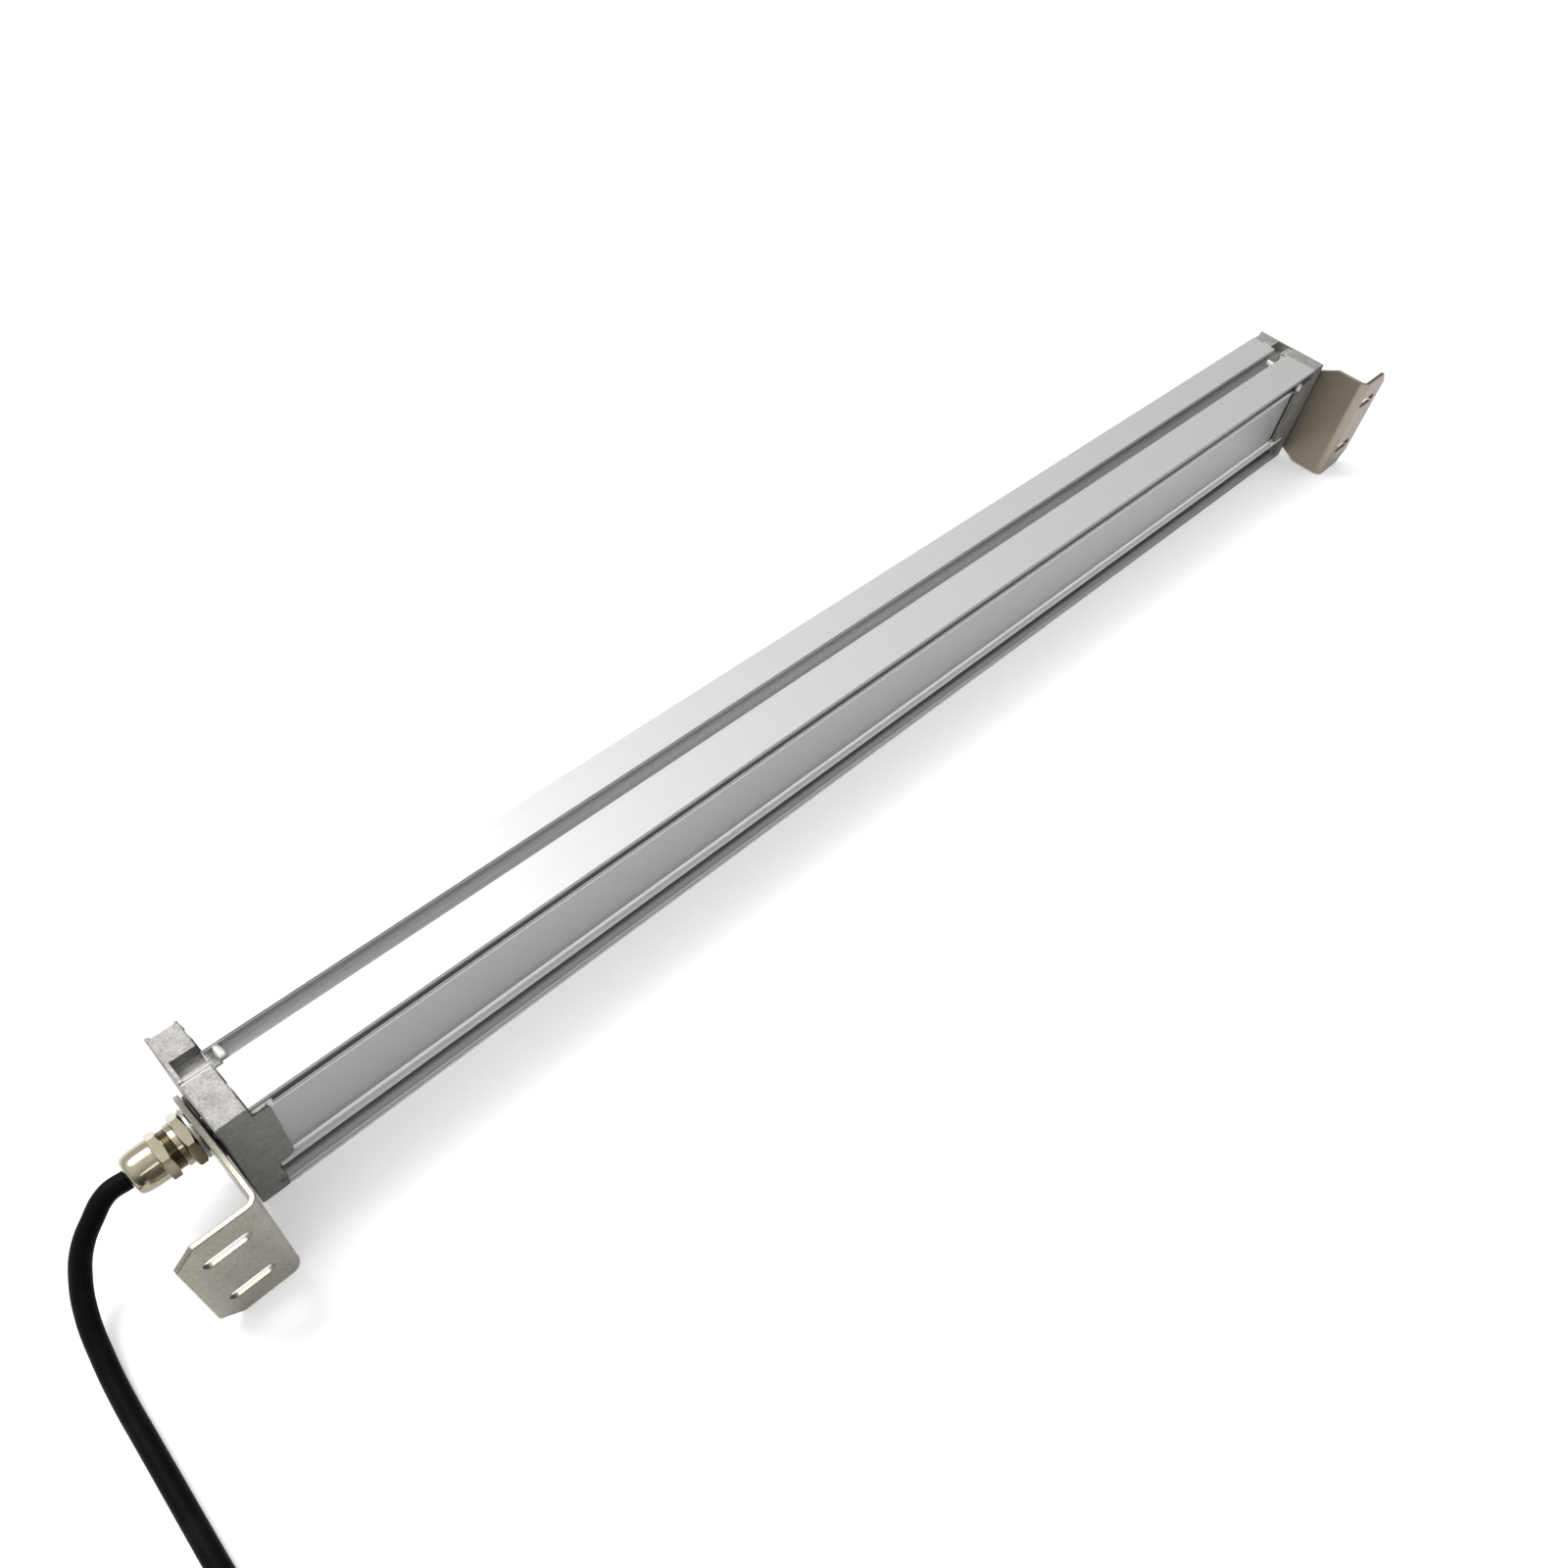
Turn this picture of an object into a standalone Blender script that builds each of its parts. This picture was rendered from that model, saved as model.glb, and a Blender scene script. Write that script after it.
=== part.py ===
"""Machine work light: an LED lamp in an extruded aluminium housing, carried by two swivel brackets.

The lamp lies along X with its cable at -X. Its window faces +Y and its panel recess faces -Y.
The origin is the middle of the flat face that it rests on. Lengths are in metres.
"""

import math

import bmesh
import bpy
import numpy as np
from mathutils import Euler, Matrix, Vector

# Overall sizes, the clearance between pieces that touch, and how far a cut runs past its piece
LENGTH_OVER_CAPS = 0.700
HOUSING_WIDTH = 0.0426
HOUSING_HEIGHT = 0.062
FIT = 0.0003
OVERRUN = 0.002

# Housing: walls
HOUSING_WALL = 0.0022
NEAR_WALL = 0.002
CORNER_BREAK = 0.0005

# Housing: T-slot in the top face
SLOT_ASIDE_SHARE = 0.4902
SLOT_WIDTH = 0.0076
SLOT_LIP = 0.0018
SLOT_UNDERCUT = 0.0016
SLOT_DEPTH = 0.0054
SLOT_WALL = 0.0018
SLOT_RIB_HEIGHT = 0.0005
SLOT_RIB_WIDTH = 0.0007
SLOT_RIB_SPACING = 0.0014

# Housing: recess, ledge, cove and foot of the near face
TOP_LIP = 0.002
RECESS_DEPTH = 0.0035
PANEL_THICKNESS = 0.001
PANEL_TOP_GAP = 0.0088
LEDGE_HEIGHT = 0.0173
LEDGE_RISE = 0.0007
LEDGE_THICKNESS = 0.002
LEDGE_GROOVE = 0.0004
COVE_RADIUS = 0.00525
FOOT_GROOVE_HEIGHT = 0.0024
FOOT_GROOVE_WIDTH = 0.0005
FOOT_GROOVE_DEPTH = 0.0004

# Housing: screw channels
CHANNEL_RADIUS = 0.0019
CHANNEL_WALL = 0.0014
CHANNEL_EDGE = 0.0045
CHANNEL_SHOULDER = 0.0013
CHANNEL_MOUTH = 0.0016

# Window
GLASS_THICKNESS = 0.004
GLASS_LIP = 0.0012
GLASS_RIB = 0.0014
GLASS_RIB_HEIGHT = 0.0072
GLASS_GROOVE_WALL = 0.0024
WINDOW_SILL = 0.0062
SEAL_HEIGHT = 0.001

# Light source
BOARD_THICKNESS = 0.0016
LIGHT_END_GAP = 0.002
LED_COUNT = 12
LED_SIZE = 0.0035
LED_HEIGHT = 0.0009
REFLECTOR_THICKNESS = 0.0006
REFLECTOR_STRIP = 0.0052
REFLECTOR_LEDGE_GAP = 0.0012
REFLECTOR_EDGE_GAP = 0.0011

# Driver
DRIVER_INSET = 0.010
DRIVER_LENGTH = 0.050
DRIVER_MARGIN = 0.0015
CHOKE_RADIUS = 0.0055
CHOKE_HEIGHT = 0.0075
CAPACITOR_RADIUS = 0.004
CAPACITOR_HEIGHT = 0.011
CHIP_LENGTH = 0.008
CHIP_WIDTH = 0.006
CHIP_HEIGHT = 0.0022
CHOKE_PLACE_SHARES = (0.80, 0.66)
CAPACITOR_PLACE_SHARES = (0.52, 0.74)
CHIP_PLACE_SHARES = (0.70, 0.24)
TERMINAL_INSET = 0.0005
TERMINAL_LENGTH = 0.010
TERMINAL_HEIGHT = 0.009
TERMINAL_PITCH = 0.005
TERMINAL_HOLE_RADIUS = 0.0014
TERMINAL_HOLE_DEPTH = 0.005

# End caps
CAP_DEPTH = 0.011
CAP_EDGE_BREAK = 0.0004
CAP_PLATE = 0.0016
CAP_PLATE_OVERHANG = 0.0012
CAP_FAR_RECESS = 0.0006
CAP_RIM = 0.001
CAP_RIM_PROUD = 0.0002
CAP_SLOT_ASIDE = 0.0012
CAP_SLOT_STEP = 0.0025
CAP_SLOT_STEP_DEPTH = 0.0008
CAP_SLOT_WIDTH = 0.0068
CAP_POCKET_DEPTH = 0.0026
TONGUE_LENGTH = 0.0062
TONGUE_DROP = 0.0063
TONGUE_SETBACK = 0.0001
TONGUE_ROOT = 0.003
TONGUE_CHAMFER = 0.0022

# Gaskets
GASKET_THICKNESS = 0.0012
GASKET_INSET = 0.0012
GASKET_COVE_GAP = 0.0006
GASKET_SLOT_GAP = 0.0005
GASKET_BAR = 0.0075
GASKET_SIDE = 0.0035

# Cap screws
SCREW_HEAD_RADIUS = 0.0036
SCREW_HEAD_EDGE = 0.0002
SCREW_SINK = 0.0002
SCREW_LENGTH = 0.020
SCREW_SOCKET_RADIUS = 0.0014
SCREW_SOCKET_DEPTH = 0.0013

# Brackets
BRACKET_THICKNESS = 0.002
BRACKET_BEND = 0.002
BRACKET_REACH = 0.0305
BRACKET_OFFSET = 0.049
BRACKET_SHOULDER = 0.030
BRACKET_EYE = 0.014
BRACKET_CHAMFER = 0.007
BRACKET_SLOT_LENGTH = 0.016
BRACKET_SLOT_WIDTH = 0.0055
BRACKET_SLOT_MARGIN = 0.0061
BRACKET_SLOT_SPACING = 0.0308

# Pivots
PIVOT_RADIUS = 0.0076
PIVOT_ENGAGEMENT = 0.009
FRICTION_WASHER_THICKNESS = 0.0008
FRICTION_WASHER_WIDTH = 0.0046
LOCK_WASHER_THICKNESS = 0.0012
LOCK_WASHER_WIDTH = 0.0018
HEX_SHOULDER = 0.0009
COLLAR_THICKNESS = 0.0046
PLUG_HEAD = 0.005

# Cable gland
CABLE_DIAMETER = 0.007
GLAND_BORE_CLEARANCE = 0.0004
SEAL_WALL = 0.0025
SEAL_LENGTH = 0.0042
CLAW_WALL = 0.0006
CLAW_ROOT = 0.0015
CLAW_SLOT_WIDTH = 0.001
CLAW_SLOT_PAIRS = 3
GLAND_THREAD_SHOWING = 0.0022
GLAND_THREAD_IN_NUT = 0.004
NUT_WALL = 0.0007
NUT_HEX_LENGTH = 0.0076
NUT_DOME_LENGTH = 0.0074
NUT_DOME_SQUARENESS = 0.6
NUT_LIP = 0.0013
NUT_MOUTH = 0.002
CABLE_TAIL_INSIDE = 0.007
CORE_RADIUS = 0.0009
CORE_SPACING = 0.0022
CORE_GRIP = 0.003

# Cable outside the lamp: its free stretch, chosen by hand, and its coil
CABLE_ROUTE = (
    (-0.3920, -0.0028, 0.0273),
    (-0.3987, -0.0062, 0.0226),
    (-0.4043, -0.0115, 0.0165),
    (-0.4092, -0.0205, 0.0102),
    (-0.4125, -0.0345, 0.0056),
    (-0.4143, -0.0494, 0.0038),
    (-0.4151, -0.0644, 0.0036),
    (-0.4159, -0.0805, 0.0036),
    (-0.4167, -0.0960, 0.0036),
    (-0.4174, -0.1110, 0.0037),
    (-0.4178, -0.1250, 0.0041),
    (-0.4180, -0.1400, 0.0046),
)
CABLE_DIAMETERS_PER_POINT = 2
COIL_X = -0.4180
COIL_Y = -0.1710
COIL_MEAN_RADIUS = 0.042
COIL_TURN_GAP = 0.0006
COIL_TURNS = 10.6
COIL_TURNS_PER_LAYER = 2.75
COIL_CLIMB = 0.5
COIL_POINTS_PER_TURN = 24
TIE_THICKNESS = 0.001
TIE_WIDTH = 0.008
TIE_CORNER = 0.003
TIE_ANGLES = {"coil_tie_near": math.radians(318), "coil_tie_far": math.radians(205)}
LEAD_CORE_LENGTH = 0.036
LEAD_CORE_SPACING = 0.0025
LEAD_CORE_DROP = 0.012
FERRULE_LENGTH = 0.008
FERRULE_COLLAR_LENGTH = 0.0025
FERRULE_RADIUS = 0.0007
FERRULE_COLLAR_RADIUS = 0.0011

# Facets of round shapes
ROUND_STEPS = 32
SMALL_ROUND_STEPS = 12
ARC_STEPS = 6
LONG_ARC_STEPS = 14
FLAT_ANGLE = math.radians(0.1)
SMOOTH_ANGLE = math.radians(40)

# Places that follow from the sizes above
HALF_WIDTH = HOUSING_WIDTH / 2
MIDDLE = HOUSING_HEIGHT / 2
CAP_END = LENGTH_OVER_CAPS / 2
CAP_FACE = CAP_END - CAP_DEPTH
HOUSING_END = CAP_FACE - FIT
RECESS_FLOOR = -HALF_WIDTH + RECESS_DEPTH
PANEL_FACE = RECESS_FLOOR - PANEL_THICKNESS
BACK_WALL = RECESS_FLOOR + NEAR_WALL
COVE_HEIGHT = LEDGE_HEIGHT - LEDGE_THICKNESS - COVE_RADIUS
COVE_BACK = -HALF_WIDTH + COVE_RADIUS
GLASS_GROOVE_FAR = HALF_WIDTH - GLASS_LIP
GLASS_GROOVE_NEAR = GLASS_GROOVE_FAR - GLASS_THICKNESS - 2 * FIT
CHAMBER_FAR = GLASS_GROOVE_NEAR - GLASS_RIB
CHANNEL_BOSS = CHANNEL_RADIUS + CHANNEL_WALL
FAR_CHANNEL = CHAMBER_FAR - CHANNEL_RADIUS
UPPER_NEAR_CHANNEL = BACK_WALL + CHANNEL_SHOULDER + CHANNEL_RADIUS
LOWER_NEAR_CHANNEL = COVE_BACK + NEAR_WALL + CHANNEL_SHOULDER + CHANNEL_RADIUS
UPPER_CHANNEL = HOUSING_HEIGHT - CHANNEL_EDGE
CHANNELS = (
    (UPPER_NEAR_CHANNEL, UPPER_CHANNEL),
    (FAR_CHANNEL, UPPER_CHANNEL),
    (FAR_CHANNEL, CHANNEL_EDGE),
    (LOWER_NEAR_CHANNEL, CHANNEL_EDGE),
)
SLOT_FLOOR = HOUSING_HEIGHT - SLOT_DEPTH
SLOT_HALF_WIDTH = SLOT_WIDTH / 2
SLOT_SPACE = (FAR_CHANNEL - UPPER_NEAR_CHANNEL) / 2 - CHANNEL_RADIUS - SLOT_UNDERCUT - SLOT_HALF_WIDTH
SLOT_MIDDLE = (FAR_CHANNEL + UPPER_NEAR_CHANNEL) / 2 + SLOT_ASIDE_SHARE * SLOT_SPACE
SLOT_NEAR = SLOT_MIDDLE - SLOT_HALF_WIDTH
SLOT_FAR = SLOT_MIDDLE + SLOT_HALF_WIDTH
CAP_SLOT_START = SLOT_NEAR + CAP_SLOT_ASIDE
CAP_SLOT_NEAR = CAP_SLOT_START + CAP_SLOT_STEP
CAP_SLOT_FAR = CAP_SLOT_NEAR + CAP_SLOT_WIDTH
CAP_FAR_SIDE = HALF_WIDTH - CAP_FAR_RECESS
SCREW_SHANK = CHANNEL_RADIUS - FIT
BOARD_BACK = BACK_WALL + FIT
BOARD_FRONT = BOARD_BACK + BOARD_THICKNESS
DRIVER_START = -HOUSING_END + DRIVER_INSET
DRIVER_END = DRIVER_START + DRIVER_LENGTH
DRIVER_LOW = LEDGE_HEIGHT + LEDGE_RISE + DRIVER_MARGIN
DRIVER_HIGH = UPPER_CHANNEL - CHANNEL_BOSS - DRIVER_MARGIN
LIGHT_START = DRIVER_END + LIGHT_END_GAP
LIGHT_END = HOUSING_END - LIGHT_END_GAP
LED_BOARD_HALF_WIDTH = MIDDLE - LEDGE_HEIGHT - REFLECTOR_STRIP
TERMINAL_START = DRIVER_START + TERMINAL_INSET
TERMINAL_MIDDLE = BOARD_FRONT + FIT + TERMINAL_HEIGHT / 2
CABLE_RADIUS = CABLE_DIAMETER / 2
GLAND_BORE = CABLE_RADIUS + GLAND_BORE_CLEARANCE
SEAL_OUTER = CABLE_RADIUS + FIT + SEAL_WALL
CLAW_INNER = SEAL_OUTER + FIT
GLAND_THREAD_RADIUS = CLAW_INNER + CLAW_WALL
NUT_BORE = GLAND_THREAD_RADIUS + FIT
NUT_FLAT = NUT_BORE + NUT_WALL
HEX_FLAT = PIVOT_RADIUS + HEX_SHOULDER
PIVOT_HOLE = PIVOT_RADIUS + FIT
BRACKET_HALF_HEIGHT = MIDDLE - FIT

# Distances along each pivot, outwards from the cap
LEG_INNER = FRICTION_WASHER_THICKNESS + 2 * FIT
LEG_OUTER = LEG_INNER + BRACKET_THICKNESS
HEX_FACE = LEG_OUTER + LOCK_WASHER_THICKNESS + 2 * FIT
COLLAR_END = HEX_FACE + COLLAR_THICKNESS
NUT_FACE = COLLAR_END + GLAND_THREAD_SHOWING
THREAD_END = NUT_FACE + GLAND_THREAD_IN_NUT
SEAL_END = THREAD_END + FIT + SEAL_LENGTH
NUT_SHOULDER = NUT_FACE + NUT_HEX_LENGTH
NUT_END = NUT_SHOULDER + NUT_DOME_LENGTH

# Coil
COIL_PITCH = CABLE_DIAMETER + COIL_TURN_GAP
COIL_HALF_BUILD = COIL_TURNS_PER_LAYER * COIL_PITCH / 2
COIL_INNER = COIL_MEAN_RADIUS - COIL_HALF_BUILD
COIL_OUTER = COIL_MEAN_RADIUS + COIL_HALF_BUILD
COIL_BASE = TIE_THICKNESS + FIT + CABLE_RADIUS
COIL_LAYERS = math.ceil(COIL_TURNS / COIL_TURNS_PER_LAYER)
COIL_TOP = COIL_BASE + (COIL_LAYERS - 1) * COIL_PITCH + CABLE_RADIUS
COIL_CENTRE = Vector((COIL_X - COIL_OUTER, COIL_Y, 0))

# The turn that carries an outline's plane to the plane square to each axis
TURNS = {"X": Euler((math.pi / 2, 0, math.pi / 2)), "Y": Euler((math.pi / 2, 0, 0)), "Z": Euler()}

# Colour, roughness and metallic value of each finish
FINISHES = {
    "anodised": ((0.74, 0.74, 0.75), 0.38, 1.0),
    "die_cast": ((0.52, 0.51, 0.49), 0.50, 1.0),
    "stainless": ((0.50, 0.48, 0.44), 0.32, 1.0),
    "nickel": ((0.72, 0.68, 0.56), 0.20, 1.0),
    "zinc_steel": ((0.66, 0.66, 0.64), 0.35, 1.0),
    "bright_sheet": ((0.90, 0.90, 0.90), 0.12, 1.0),
    "tinned_copper": ((0.80, 0.78, 0.74), 0.30, 1.0),
    "silicone": ((0.86, 0.85, 0.78), 0.60, 0.0),
    "black_rubber": ((0.02, 0.02, 0.02), 0.60, 0.0),
    "black_sheath": ((0.015, 0.016, 0.018), 0.45, 0.0),
    "black_nylon": ((0.03, 0.03, 0.03), 0.50, 0.0),
    "led_board": ((0.88, 0.88, 0.86), 0.45, 0.0),
    "circuit_board": ((0.03, 0.22, 0.10), 0.40, 0.0),
    "grey_plastic": ((0.45, 0.47, 0.48), 0.50, 0.0),
    "brown": ((0.22, 0.10, 0.05), 0.40, 0.0),
    "blue": ((0.03, 0.12, 0.45), 0.40, 0.0),
    "green_yellow": ((0.35, 0.60, 0.05), 0.40, 0.0),
    "glass": ((0.80, 0.86, 0.84), 0.05, 0.0),
}


def new_collection(name):
    made = bpy.data.collections.new(name)
    bpy.context.scene.collection.children.link(made)
    return made


for old in list(bpy.data.objects):
    bpy.data.objects.remove(old)
PARTS = new_collection("machine_work_light")
CUTTERS = new_collection("cutters")


def material(name):
    """The Principled material of this finish, made when it is first asked for."""
    found = bpy.data.materials.get(name)
    if found:
        return found
    colour, roughness, metallic = FINISHES[name]
    made = bpy.data.materials.new(name)
    made.use_nodes = True
    shader = made.node_tree.nodes["Principled BSDF"]
    shader.inputs["Base Color"].default_value = (*colour, 1)
    shader.inputs["Roughness"].default_value = roughness
    shader.inputs["Metallic"].default_value = metallic
    if name == "glass":
        shader.inputs["Transmission Weight"].default_value = 1
    return made


def placed(name, data, location, finish):
    """An object in the parts collection or, where it has no finish, a hidden one among the cutters."""
    made = bpy.data.objects.new(name, data)
    made.location = location
    if finish:
        PARTS.objects.link(made)
        data.materials.clear()
        data.materials.append(material(finish))
    else:
        CUTTERS.objects.link(made)
        made.hide_render = True
        made.display_type = "WIRE"
    return made


def closed_mesh(drawn, whole_faces=False):
    """The mesh that a drawn object evaluates to, welded and facing out, its flat faces made whole or not."""
    bpy.context.scene.collection.objects.link(drawn)
    graph = bpy.context.evaluated_depsgraph_get()
    mesh = bpy.data.meshes.new_from_object(drawn.evaluated_get(graph))
    bpy.data.objects.remove(drawn)
    shape = bmesh.new()
    shape.from_mesh(mesh)
    bmesh.ops.remove_doubles(shape, verts=shape.verts, dist=FIT / 100)
    if whole_faces:
        bmesh.ops.dissolve_limit(shape, angle_limit=FLAT_ANGLE, verts=shape.verts, edges=shape.edges)
    bmesh.ops.recalc_face_normals(shape, faces=shape.faces)
    shape.to_mesh(mesh)
    shape.free()
    return mesh


def along_axis(axis, at, low, high):
    """The middle of a stretch from low to high along an axis, measured from the point at."""
    place = Vector(at)
    place["XYZ".index(axis)] += (low + high) / 2
    return place


def prism(name, outline, low, high, axis="X", at=(0, 0, 0), finish=None):
    """A flat outline extruded along an axis, from low to high as measured from the point at."""
    curve = bpy.data.curves.new(name, "CURVE")
    curve.dimensions = "2D"
    curve.fill_mode = "BOTH"
    curve.extrude = (high - low) / 2
    spline = curve.splines.new("POLY")
    spline.points.add(len(outline) - 1)
    spline.use_cyclic_u = True
    for point, (u, v) in zip(spline.points, outline):
        point.co = (u, v, 0, 1)
    mesh = closed_mesh(bpy.data.objects.new(name, curve), whole_faces=True)
    bpy.data.curves.remove(curve)
    mesh.transform(TURNS[axis].to_matrix().to_4x4())
    return placed(name, mesh, along_axis(axis, at, low, high), finish)


def rod(name, radius, low, high, axis="X", at=(0, 0, 0), sides=ROUND_STEPS, finish=None):
    """A cylinder along an axis, from low to high as measured from the point at."""
    shape = bmesh.new()
    turn = TURNS[axis].to_matrix().to_4x4()
    bmesh.ops.create_cone(
        shape, cap_ends=True, segments=sides, radius1=radius, radius2=radius, depth=high - low, matrix=turn
    )
    mesh = bpy.data.meshes.new(name)
    shape.to_mesh(mesh)
    shape.free()
    mesh.shade_smooth()
    mesh.set_sharp_from_angle(angle=SMOOTH_ANGLE)
    return placed(name, mesh, along_axis(axis, at, low, high), finish)


def boxes(name, corners, finish=None):
    """One mesh of boxes, each given by its low corner and its high corner."""
    shape = bmesh.new()
    for low, high in corners:
        size = Vector(high) - Vector(low)
        middle = Matrix.Translation((Vector(high) + Vector(low)) / 2)
        bmesh.ops.create_cube(shape, size=1, matrix=middle @ Matrix.Diagonal((*size, 1)))
    mesh = bpy.data.meshes.new(name)
    shape.to_mesh(mesh)
    shape.free()
    return placed(name, mesh, (0, 0, 0), finish)


def turned(name, profile, at, sides=ROUND_STEPS, finish=None):
    """A solid turned about the X line through at, from a profile of distances outwards and radii."""
    mesh = bpy.data.meshes.new(name)
    edges = [(index, index + 1) for index in range(len(profile) - 1)]
    if profile[0][1] > 0:
        edges.append((len(profile) - 1, 0))
    mesh.from_pydata([(radius, 0, along) for along, radius in profile], edges, [])
    drawn = bpy.data.objects.new(name, mesh)
    sweep = drawn.modifiers.new("sweep", "SCREW")
    sweep.steps = sides
    sweep.render_steps = sides
    sweep.use_merge_vertices = True
    sweep.merge_threshold = FIT / 100
    solid = closed_mesh(drawn)
    bpy.data.meshes.remove(mesh)
    solid.transform(Matrix.Rotation(math.pi / 2, 4, "Y"))
    solid.shade_smooth()
    solid.set_sharp_from_angle(angle=SMOOTH_ANGLE)
    return placed(name, solid, at, finish)


def combine(target, operation, others):
    for other in others:
        change = target.modifiers.new(other.name, "BOOLEAN")
        change.operation = operation
        change.solver = "EXACT"
        change.object = other
    return target


def cut(target, *others):
    return combine(target, "DIFFERENCE", others)


def add(target, *others):
    return combine(target, "UNION", others)


def keep(target, *others):
    return combine(target, "INTERSECT", others)


def mirrored(source, name):
    """The same piece for the lamp's other end, as its mirror image across the YZ plane."""
    graph = bpy.context.evaluated_depsgraph_get()
    mesh = bpy.data.meshes.new_from_object(source.evaluated_get(graph))
    mesh.transform(Matrix.Scale(-1, 4, (1, 0, 0)))
    mesh.flip_normals()
    place = source.location * Vector((-1, 1, 1))
    return placed(name, mesh, place, source.data.materials[0].name)


def moved_to_cable_end(source):
    """The piece at the cable's end instead, as its mirror image."""
    name = source.name
    source.name = f"{name}_pattern"
    made = mirrored(source, name)
    bpy.data.objects.remove(source)
    return made


def tube(name, points, radius, finish, resolution=2, radii=None):
    """A round tube along a list of points, which may each have a radius of their own."""
    curve = bpy.data.curves.new(name, "CURVE")
    curve.dimensions = "3D"
    curve.bevel_depth = radius
    curve.bevel_resolution = resolution
    curve.use_fill_caps = True
    spline = curve.splines.new("POLY")
    spline.points.add(len(points) - 1)
    for index, place in enumerate(points):
        spline.points[index].co = (*place, 1)
        if radii:
            spline.points[index].radius = radii[index] / radius
    return placed(name, curve, (0, 0, 0), finish)


def rectangle(low_u, low_v, high_u, high_v, corner=0):
    """A rectangle, whose corners may be cut off at 45 degrees."""
    if corner == 0:
        return [(low_u, low_v), (high_u, low_v), (high_u, high_v), (low_u, high_v)]
    return [
        (low_u + corner, low_v),
        (high_u - corner, low_v),
        (high_u, low_v + corner),
        (high_u, high_v - corner),
        (high_u - corner, high_v),
        (low_u + corner, high_v),
        (low_u, high_v - corner),
        (low_u, low_v + corner),
    ]


def arc(centre_u, centre_v, radius, start, end, steps=ARC_STEPS):
    angles = np.linspace(start, end, steps + 1)
    return [(centre_u + radius * math.cos(a), centre_v + radius * math.sin(a)) for a in angles]


def stadium(centre_u, centre_v, length, width):
    """A slot with round ends, its length along the first axis."""
    straight = (length - width) / 2
    right = arc(centre_u + straight, centre_v, width / 2, -math.pi / 2, math.pi / 2)
    left = arc(centre_u - straight, centre_v, width / 2, math.pi / 2, 3 * math.pi / 2)
    return right + left


def smooth_route(before, knots, after, count):
    """Points at even steps along a Catmull-Rom curve that comes from before and leads on to after."""
    ends = [before, *knots, after]
    fine = []
    for behind, start, end, ahead in zip(ends, ends[1:], ends[2:], ends[3:]):
        slope = (end - behind) / 2
        bend = behind - 2.5 * start + 2 * end - ahead / 2
        twist = (3 * start - behind - 3 * end + ahead) / 2
        for t in np.linspace(0, 1, LONG_ARC_STEPS, endpoint=False):
            fine.append(start + (slope + (bend + twist * t) * t) * t)
    fine.append(knots[-1])
    travelled = np.cumsum([0] + [(b - a).length for a, b in zip(fine, fine[1:])])
    wanted = np.linspace(0, travelled[-1], count)
    columns = [np.interp(wanted, travelled, [place[axis] for place in fine]) for axis in range(3)]
    return [Vector(place) for place in zip(*columns)]


def length_of(points):
    return sum((b - a).length for a, b in zip(points, points[1:]))


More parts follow.
